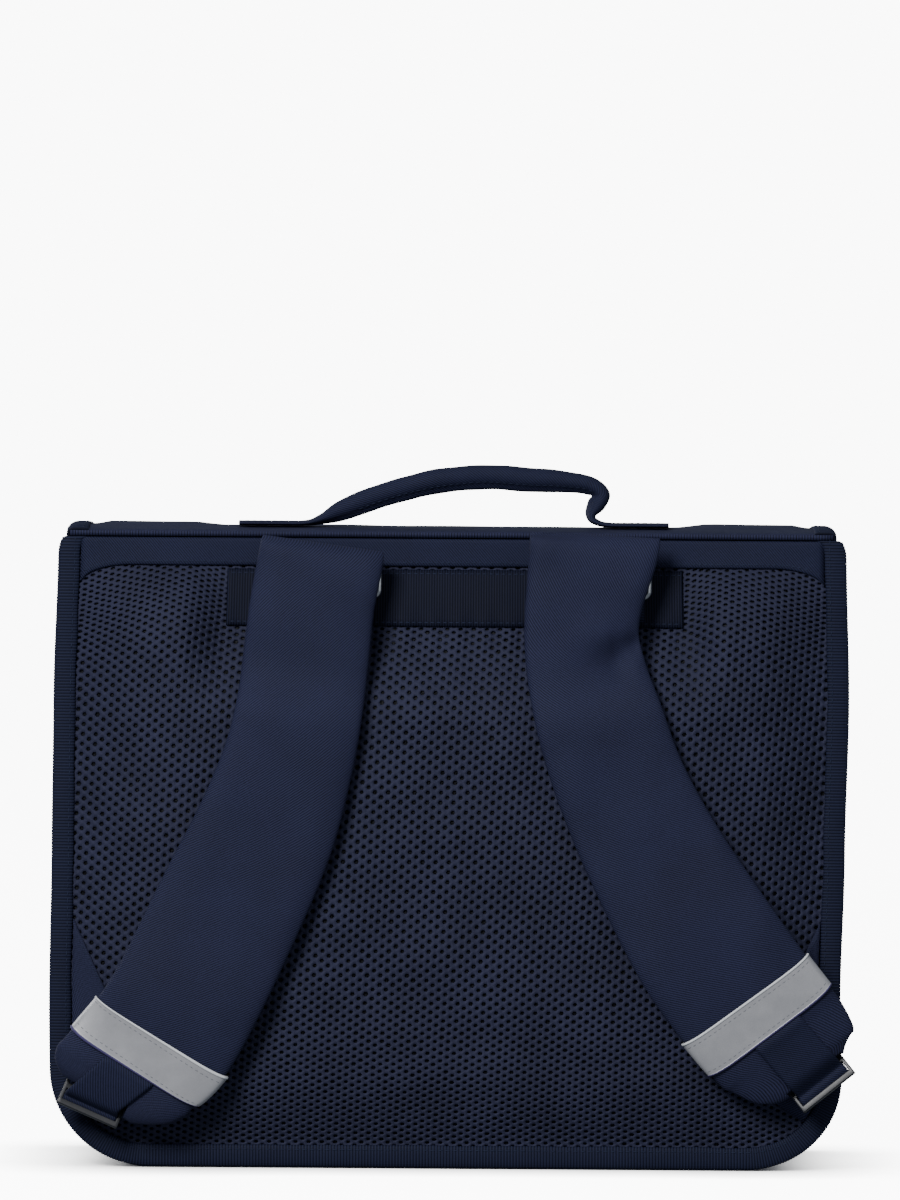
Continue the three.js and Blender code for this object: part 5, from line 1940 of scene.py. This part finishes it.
    def build_pad(self, wardrobe: Wardrobe) -> None:
        """Builds and dresses the padded strap.

        Args:
            wardrobe: the finishes.
        """
        word, total = self.side.word, self.run[-1]
        cap = np.array([0.25, 0.8, 1.8])
        place = np.concatenate([cap, np.arange(3.5, total - 3, 2.6), total - cap[::-1]])
        rings = self.seam_groove(self.rings(place), place, 0.7, -0.15)
        ends = np.sqrt(rise(np.minimum(place, total - place) / 3.5))
        shrink, flat = 0.72 + 0.28 * ends, 0.35 + 0.65 * ends
        middle, across, face = self.at(place)[:3]
        local = rings - middle[:, None]
        u = (local * across[:, None]).sum(axis=2) * (1 - (1 - shrink) * 0.12)[:, None]
        v = (local * face[:, None]).sum(axis=2) * flat[:, None]
        rings = middle[:, None] + u[..., None] * across[:, None] + v[..., None] * face[:, None]
        under = self.v < -0.2
        if self.side is Side.RIGHT:
            under |= (self.u < -0.94) & (self.v < 0.8)

        piece = loft_piece(f"strap_pad_{word}", rings, lambda _, column: int(under[column % self.sides]))
        mesh = piece.data
        self.skin = BVHTree.FromPolygons([v.co for v in mesh.vertices], [f.vertices for f in mesh.polygons])
        self.cut_notch(piece)
        smooth_by_angle(piece, 50)
        wardrobe.dress(piece, TWILL_STRAP[self.side.value], MESH_FACE)
        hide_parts(f"shoulder_strap_{word}")

    def cut_notch(self, piece: bpy.types.Object) -> None:
        """Cuts the strap's end clear of the buckle.

        Args:
            piece: the padded strap.
        """
        buckle = self.buckle
        wide, deep, start = buckle.width + 1.2, 3 * buckle.pitch, -1.0
        cutter = primitive(bpy.ops.mesh.primitive_cube_add, size=1)
        cutter.data.transform(Matrix.Diagonal((wide, deep, 2 * deep, 1)))
        cutter.data.transform(Matrix.Translation((0, start + deep / 2, 0)))
        place_primitive(cutter, "cutter", basis(buckle.along, buckle.ahead, buckle.off, buckle.middle))
        turn_outwards(cutter)
        apply_modifier(piece, "BOOLEAN", operation="DIFFERENCE", object=cutter, solver="EXACT")
        bpy.data.objects.remove(cutter)

    def build_tape(self, wardrobe: Wardrobe) -> None:
        """Builds and dresses the reflective tape and its stitches.

        Args:
            wardrobe: the finishes.
        """
        word, row = self.side.word, self.tape_row * self.fine
        low, high = self.fold
        share = np.array([0, 0.012, 0.03, 0.05, 0.058, 0.075, 0.15, 0.3, 0.5,
                          0.7, 0.85, 0.93, 0.955, 0.962, 0.975, 0.988, 1])
        place = self.run[row] - self.tape_w * (1 - share)
        fold = np.where((share <= low) | (share >= high), 0.3, 0.0)
        edge = 0.35 * (1 - rise(np.minimum(share, 1 - share) / 0.03))
        ahead = unit(self.at(place[-1:])[0][0] - self.at(place[:1])[0][0])
        ends = (np.abs(self.u) ** 7)[:, None] * ahead
        bend = ends[None] * np.linspace(*self.tape_bend, len(place))[:, None, None]
        grids = [self.rings(place, grow) - bend for grow in (CLEAR + self.tape_t + fold - edge, CLEAR * 0.5)]
        piece = slab_piece(f"tape_{word}", *(np.concatenate([grid, grid[:, :1]], axis=1) for grid in grids))
        apply_modifier(piece, "WELD", merge_threshold=0.00002)
        wardrobe.dress(piece, TAPE, TAPE_EDGE_HIGHLIGHT, TAPE_EDGE)
        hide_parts(f"reflective_band_{word}")
        spot = np.repeat((share[:-1] + share[1:]) / 2, self.sides)
        kinds = np.zeros(len(piece.data.polygons), int)
        # Faces along the tape's upper edge take the painted highlight; faces along its lower edge take the dark
        # edge finish.
        kinds[: len(spot)] = np.where(spot < low, 1, np.where(spot > high, 2, 0))
        piece.data.polygons.foreach_set("material_index", kinds)
        lines = []
        for spot in (0.15, 0.85):
            bent = np.interp(spot, (0, 1), self.tape_bend)
            at = np.array([self.run[row] - self.tape_w * (1 - spot)])
            line = (self.rings(at, CLEAR + self.tape_t)[0] - ends * bent)[self.v > 0.35]
            line = line[np.argsort(line @ self.across[-10])]
            lines.append((line, np.tile(self.face[row], (len(line), 1))))
        seam = Seam(length=1.7, pitch=2.9, thick=0.42)
        wardrobe.dress(seam.along(f"tape_stitches_{word}", lines), TAPE_STITCH)

    def build_loop(self, wardrobe: Wardrobe) -> None:
        """Builds and dresses the loop from the strap's end round the buckle's middle bar.

        Args:
            wardrobe: the finishes.
        """
        word, buckle, row = self.side.word, self.buckle, self.tape_row * self.fine
        turn = math.radians(self.loop_turn)
        back = np.array([-self.side.value * math.cos(turn), 0, math.sin(turn)])
        across = self.across[row]
        run = unit(np.cross(across, VIEWER))
        length = abs(run @ (buckle.middle - self.point[row]) / (run @ back))
        start, edge = buckle.middle + back * (length - self.tape_t), buckle.middle + buckle.ahead * 1.2
        slant = across * self.loop_w / 2
        slant = slant * (1 if slant @ buckle.along > 0 else -1)
        level = buckle.along * self.loop_w / 2
        hook_top = buckle.middle[1] + buckle.hook_r * buckle.off[1]
        rows = []
        for share in (-0.06, 0.05, 0.2, 0.4, 0.6, 0.8, 1.0):
            spot, half = start + (edge - start) * share, slant + (level - slant) * max(0, share)
            depth = min(self.front(spot * (1, 0, 1), half), hook_top) + (1.4 if share < 0 else 0)
            rows.append(((spot[0], depth, spot[2]), half))
        fill = buckle.slot + buckle.bar / 2 - 0.1 - buckle.hook_r
        for angle in np.radians(np.linspace(38, -90, 9)):
            turned = max(0.0, math.cos(angle))
            ahead = turned * (buckle.hook_r + fill * turned)
            spot = buckle.middle + ahead * buckle.ahead + buckle.hook_r * math.sin(angle) * buckle.off
            rows.append((spot, level * 1.03))
        points, halves = (np.array([r[k] for r in rows], float) for k in (0, 1))
        name, node = f"loop_{word}", f"strap_loop_{word}"
        Ribbon(name, node, points, halves, VIEWER, TWILL_BAND, steps=4).build(wardrobe)

    def front(self, spot: Array, half: Array) -> float:
        """Depth of a webbing that lies on the strap.

        Args:
            spot: its middle.
            half: its half width.

        Returns:
            The depth, infinite where the strap isn't under it.
        """
        found = []
        for part in (-1.0, -0.6, -0.2, 0.2, 0.6, 1.0):
            start = Vector((spot + half * part) * MM) + Vector((0, -0.4, 0))
            hit = self.skin.ray_cast(start, Vector((0, 1, 0)))[0]
            if hit is not None:
                found.append(hit.y / MM)
        return min(found) - CLEAR - self.web / 2 if found else math.inf

    def build_corner(self, wardrobe: Wardrobe) -> None:
        """Builds and dresses the corner tab and the webbing from it to the buckle.

        Args:
            wardrobe: the finishes.
        """
        word = self.side.word
        along, reach = np.linspace(0, 1, 26)[:, None], np.linspace(0, 1, 17)[None]
        x, z = self.tab_at(along, reach)
        under = FORM.pad_face(x, FORM.height - z)
        edge = rise(np.minimum(along, 1 - along) / 0.05) * rise((1 - reach) / 0.05)
        outer = FORM.back(x, FORM.height - z, under + CLEAR + self.buckle.tab * (0.5 + 0.5 * edge))
        inner = FORM.back(x, FORM.height - z, under - 0.8)
        piece = wardrobe.dress(slab_piece(f"corner_tab_{word}", outer, inner), TWILL_BODY)
        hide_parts(f"anchor_tab_{word}")
        lines = []
        upper = (np.full(60, 0.05), np.linspace(0.04, 0.94, 60))
        free = (np.linspace(0.05, 0.95, 40), np.full(40, 0.92))
        for places in (upper, free):
            x, z = self.tab_at(*places)
            down = FORM.height - z
            lines.append(seam_line(FORM.back, x, down, FORM.pad_face(x, down) + CLEAR + self.buckle.tab))
        wardrobe.dress(Seam(length=2.2, pitch=3.1).along(f"corner_tab_stitches_{word}", lines), THREAD)
        self.build_webbing(wardrobe)

    def tab_at(self, down: Array, out: Array) -> tuple[Array, Array]:
        """A place on the corner tab.

        Args:
            down: share of the way down its root.
            out: share of the way from the root to its free edge.

        Returns:
            Place across the back, and height.
        """
        grown = FORM.margin - 0.6
        high, low = self.tab_place
        corners = [np.array((FORM.pad_half + grown, high))]
        for edge, slope in self.tab_edges:
            turn = math.radians(slope)
            corners.append(corners[-1] - edge * np.array((math.cos(turn), math.sin(turn))))
        top, tip, end = corners
        z = high + (low - high) * down
        root = FORM.half_at(FORM.height - z, top[0], FORM.pad_end + grown, FORM.pad_r + grown)
        end_x, end_z = (tip[k] + (end[k] - tip[k]) * down for k in (0, 1))
        return self.side.value * (root + (end_x - root) * out), z + (end_z - z) * out

    def build_webbing(self, wardrobe: Wardrobe) -> None:
        """Builds and dresses the webbing from the corner tab round the buckle's upper bar.

        Args:
            wardrobe: the finishes.
        """
        word, buckle = self.side.word, self.buckle
        half = buckle.along * self.loop_w / 2
        behind = buckle.upper - buckle.off * buckle.hook_r
        from_x, from_z = self.tab_at(np.array(0.5), np.array(0.75))
        rows = []
        for share in (0, 0.35, 0.7):
            x, z = from_x + (behind[0] - from_x) * share, from_z + (behind[2] - from_z) * share
            spots = np.array([-1, 0, 1])
            under = np.max(FORM.pad_face(x + half[0] * spots, FORM.height - (z + half[2] * spots)))
            off = max(under + 3 * CLEAR + buckle.tab + self.web / 2, share * (FORM.back_y - behind[1]))
            rows.append((float(x), FORM.back_y - off, float(z)))
        rows.append(behind - buckle.ahead * buckle.bar)
        for angle in np.radians(np.linspace(-90, 90, 9)):
            turned = math.cos(angle) * buckle.ahead + math.sin(angle) * buckle.off
            rows.append(buckle.upper + buckle.hook_r * turned)
        points = np.array([tuple(r) for r in rows], float)
        halves = np.tile(half, (len(points), 1))
        name, node = f"corner_webbing_{word}", f"lower_webbing_{word}"
        Ribbon(name, node, points, halves, -VIEWER, WEBBING, steps=4).build(wardrobe)

    def build(self, wardrobe: Wardrobe) -> None:
        """Builds the whole strap.

        Args:
            wardrobe: the finishes.
        """
        self.ring.build(wardrobe)
        self.buckle.build(wardrobe)
        self.build_pad(wardrobe)
        self.build_tape(wardrobe)
        self.build_loop(wardrobe)
        self.build_corner(wardrobe)


# A strap's rows from its top: place across and height in shares of the back's width and height, width and
# thickness in shares of the strap's, how far the ring and the buckle hold it off (0 to 1), slant in degrees.
LEFT_ROWS = (
    (-0.1609, 0.9931, 0.818, 0.4, 1, 0, 0),
    (-0.1638, 0.9684, 0.827, 0.9, 1, 0, 0),
    (-0.1742, 0.8954, 0.827, 1, 1, 0, 0),
    (-0.1816, 0.8106, 0.837, 1, 1, 0, 0),
    (-0.189, 0.7337, 0.842, 1, 1, 0, 0),
    (-0.2033, 0.6469, 0.867, 1, 0, 0, 0),
    (-0.2313, 0.5393, 0.931, 1, 0, 0, 0),
    (-0.2749, 0.4187, 0.975, 1, 0, 0, 0),
    (-0.3254, 0.2853, 0.985, 1, 0, 0.85, 1.8),
    (-0.361, 0.2094, 0.994, 1, 0, 1, 4.8),
    (-0.3973, 0.1584, 0.966, 0.9, 0, 1, 12),
    (-0.4114, 0.1412, 0.959, 0.85, 0, 1, 20.9),
    (-0.4293, 0.1247, 0.814, 0.7, 0, 1, 21.8),
    (-0.4429, 0.1128, 0.562, 0.5, 0, 1, 20.3),
)
RIGHT_ROWS = (
    (0.1797, 1.0089, 0.872, 0.4, 1, 0, 0),
    (0.1779, 0.9832, 0.857, 0.9, 1, 0, 0),
    (0.1665, 0.9043, 0.778, 1, 1, 0, 0),
    (0.1639, 0.8432, 0.763, 1, 1, 0, 0),
    (0.1721, 0.7803, 0.803, 1, 1, 0, 0),
    (0.1883, 0.7095, 0.847, 1, 1, 0, 0),
    (0.2144, 0.6151, 0.867, 1, 0, 0, 0),
    (0.2564, 0.5052, 0.916, 1, 0, 0, 0),
    (0.3202, 0.3688, 0.995, 1, 0, 0.85, 2.3),
    (0.3728, 0.2767, 0.997, 1, 0, 1, -1),
    (0.4075, 0.2229, 0.985, 0.9, 0, 1, -2.8),
    (0.4227, 0.2014, 0.959, 0.85, 0, 1, -3.8),
    (0.4435, 0.1714, 0.832, 0.7, 0, 1, -12),
    (0.4608, 0.1548, 0.496, 0.5, 0, 1, -15.4),
)
# Dents: place along and across the strap, depth and width, in millimetres.
LEFT_DENTS = ((150.0, 6.0, 0.8, 24.0),)
RIGHT_DENTS = (
    (63.0, 15.0, 4.6, 7.0), (56.0, 24.0, 3.0, 5.0), (50.0, 8.0, -2.2, 6.5), (70.0, 3.0, -1.2, 6.0),
    (120.0, 10.0, 0.8, 22.0),
)
# Side, ring's place, buckle's place (shares, and its turn in degrees), loop's turn, rows, dents.
STRAPS = (
    (Side.LEFT, -0.1626, (-0.444, 0.1133, -23.6), 39.0, LEFT_ROWS, LEFT_DENTS),
    (Side.RIGHT, 0.1762, (0.4647, 0.1526, 38.8), 48.5, RIGHT_ROWS, RIGHT_DENTS),
)


@dataclass
class Clasp:
    """A plain plastic clasp on the flap's lower edge, with its foot on the front panel."""

    side: Side
    deep: float = 6.2
    foot: float = 10.5

    def build(self, wardrobe: Wardrobe) -> None:
        """Builds and dresses the clasp round its node's box.

        Args:
            wardrobe: the finishes.
        """
        word = self.side.word
        low, high = (np.array(corner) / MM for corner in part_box(f"clasp_{word}"))
        size = high - low
        foot_top = self.foot - size[2] / 2
        piece = primitive(bpy.ops.mesh.primitive_cube_add, size=1)
        piece.data.transform(Matrix.Diagonal((size[0], self.deep, size[2], 1)))
        select_faces(piece, lambda face: face.normal.y > 0.5)
        bpy.ops.mesh.inset(thickness=2.4, depth=0)
        bpy.ops.transform.translate(value=(0, -0.7, 0))
        bpy.ops.mesh.inset(thickness=3.0, depth=0)
        bpy.ops.mesh.extrude_region_move(TRANSFORM_OT_translate={"value": (0, 1.1, 0)})
        leave_edit()
        select_faces(piece, lambda face: face.normal.y < -0.5)
        bpy.ops.mesh.select_all(action="SELECT")
        bpy.ops.mesh.bisect(plane_co=(0, 0, foot_top), plane_no=(0, 0, 1))
        leave_edit()
        select_faces(piece, lambda face: face.normal.y < -0.5 and face.calc_center_median().z < foot_top)
        bpy.ops.mesh.extrude_region_move(TRANSFORM_OT_translate={"value": (0, self.deep - size[1], 0)})
        leave_edit()
        bevel(piece, 0.9, 3, 35)
        middle = (low + high) / 2
        place = Matrix.Translation((middle[0], high[1] - self.deep / 2, middle[2]))
        place_primitive(piece, f"clasp_plate_{word}", place)
        turn_outwards(piece)
        smooth_by_angle(piece, 35)
        wardrobe.dress(piece, PLASTIC)
        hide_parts(f"clasp_{word}")


# The room


@dataclass(frozen=True)
class Studio:
    """Camera, soft lights and a pale floor that turns up into a wall."""

    frame_width: float = 429.6
    distance: float = 6000.0
    rise_deg: float = 1.5
    roll_deg: float = 0.4
    aim: tuple[float, float, float] = (-0.6, -85.0, 272.8)
    sensor: float = 27.0
    lamps: tuple[tuple[str, tuple[float, float, float], float, float], ...] = (
        ("key_light", (-1.0, -2.35, 1.55), 0.9, 134.0),
        ("fill_light", (1.8, -1.9, 0.9), 2.0, 14.0),
        ("top_light", (0.0, 0.5, 2.4), 2.0, 14.0 / 3),
        ("far_light", (-2.4, 1.6, 1.0), 1.6, 60.0),
    )
    world: float = 0.37
    sky: Colour = (0.8, 0.89, 1.0, 1.0)

    def camera(self) -> None:
        """Sets up the camera."""
        data = bpy.data.cameras.new("camera")
        data.sensor_fit = "HORIZONTAL"
        data.sensor_width = self.sensor
        data.lens = self.sensor * self.distance / self.frame_width
        data.clip_end = 100
        camera = bpy.data.objects.new("camera", data)
        bpy.context.scene.collection.objects.link(camera)
        tilt = math.radians(self.rise_deg)
        reach = Vector((0, -math.cos(tilt), math.sin(tilt))) * self.distance
        camera.location = (Vector(self.aim) + reach) * MM
        look = (-reach).to_track_quat("-Z", "Y").to_matrix().to_4x4()
        roll = Matrix.Rotation(math.radians(self.roll_deg), 4, "Z")
        camera.matrix_world = Matrix.Translation(camera.location) @ look @ roll
        bpy.context.scene.camera = camera

    def lamp(self, name: str, place: tuple[float, float, float], size: float, power: float) -> None:
        """Adds a soft square light aimed at the bag.

        Args:
            name: its name.
            place: where it hangs, in metres.
            size: its side, in metres.
            power: its power in watts.
        """
        data = bpy.data.lights.new(name, "AREA")
        data.shape = "SQUARE"
        data.size = size
        data.energy = power
        lamp = bpy.data.objects.new(name, data)
        bpy.context.scene.collection.objects.link(lamp)
        lamp.location = place
        lamp.rotation_euler = (Vector((0, 0, 0.15)) - Vector(place)).to_track_quat("-Z", "Y").to_euler()

    def light(self) -> None:
        """Hangs the lights and fills the room."""
        for name, place, size, power in self.lamps:
            self.lamp(name, place, size, power)
        world = bpy.data.worlds.new("room")
        bpy.context.scene.world = world
        world.use_nodes = True
        shade = world.node_tree.nodes["Background"]
        shade.inputs["Color"].default_value = self.sky
        shade.inputs["Strength"].default_value = self.world

    def ground(self) -> None:
        """Lays the pale floor."""
        floor = primitive(bpy.ops.mesh.primitive_plane_add, size=24)
        floor.name = "floor"
        bpy.ops.object.mode_set(mode="EDIT")
        bpy.ops.mesh.select_mode(type="EDGE")
        bpy.ops.mesh.select_all(action="DESELECT")
        work = bmesh.from_edit_mesh(floor.data)
        for edge in work.edges:
            edge.select = all(vertex.co.y > 1 for vertex in edge.verts)
        bmesh.update_edit_mesh(floor.data)
        bpy.ops.mesh.extrude_region_move(TRANSFORM_OT_translate={"value": (0, 0, 9)})
        leave_edit()
        bevel(floor, 5.0, 24, 40)
        floor.data.shade_smooth()
        floor.data.materials.append(Ground().material())
        floor.visible_diffuse = False
        floor.visible_glossy = False

    def build(self) -> None:
        """Sets the whole room."""
        self.camera()
        self.light()
        self.ground()


def build_bands(wardrobe: Wardrobe) -> None:
    """Sews the two bands across the back.

    Args:
        wardrobe: the finishes.
    """
    half, round_r, deep = FORM.width / 2 - FORM.flange - 0.6, 24, 10

    def dip(across: Array) -> Array:
        """Lower edge of the top band, rounded down at its ends."""
        turn = np.clip((np.abs(across) - (half - round_r)) / round_r, 0, 1)
        return FORM.top_band + deep * (1 - np.sqrt(1 - 0.96 * turn**2))

    PadBand("top_cloth_band", "top_band", -half, half, lambda a: 0.3 + 0 * a, dip, 1.5, 140, TWILL_BAND,
            seams=(0.86,)).build(wardrobe)
    left, right = (FORM.anchor_shift + side * FORM.anchor_w / 2 for side in (-1, 1))
    top, end = FORM.anchor_drop, FORM.anchor_end
    PadBand("strap_anchor_band", "anchor_band", left, right, lambda a: top + 0 * a, lambda a: end + 0 * a, 1.5, 351,
            ANCHOR_CLOTH, ribbed=0.11, seams=(0.07, 0.93)).build(wardrobe)


def main() -> None:
    """Builds the room and the bag, piece by piece."""
    logging.basicConfig(level=logging.INFO, format="%(message)s")
    Studio().build()
    wardrobe = Wardrobe()
    PAD.build(wardrobe)
    build_bands(wardrobe)
    seam_end = FORM.height - FORM.seam_lift
    back = UPath(FORM.width / 2, 0.0, seam_end, FORM.corner)
    front = UPath(FORM.width / 2, FORM.height - FORM.front_h, seam_end, FORM.corner)
    Binding("back_edge", "back_binding", FORM.back, back, FORM.back_t, 8.0, rounded=3.6).build(wardrobe)
    Binding("front_edge", "front_binding", FORM.front, front, FORM.front_t, 8.0).build(wardrobe)
    lid = Flap()
    Gusset().build(wardrobe, lid)
    FrontPanel().build(wardrobe)
    lid.build(wardrobe)
    Handle().build(wardrobe, lid)
    for side in Side:
        Clasp(side).build(wardrobe)
    for side, ring_at, buckle_at, turn, rows, dents in STRAPS:
        Strap(side, Ring(side, ring_at), Buckle(side, buckle_at), turn, rows, dents).build(wardrobe)


if __name__ == "__main__":
    main()
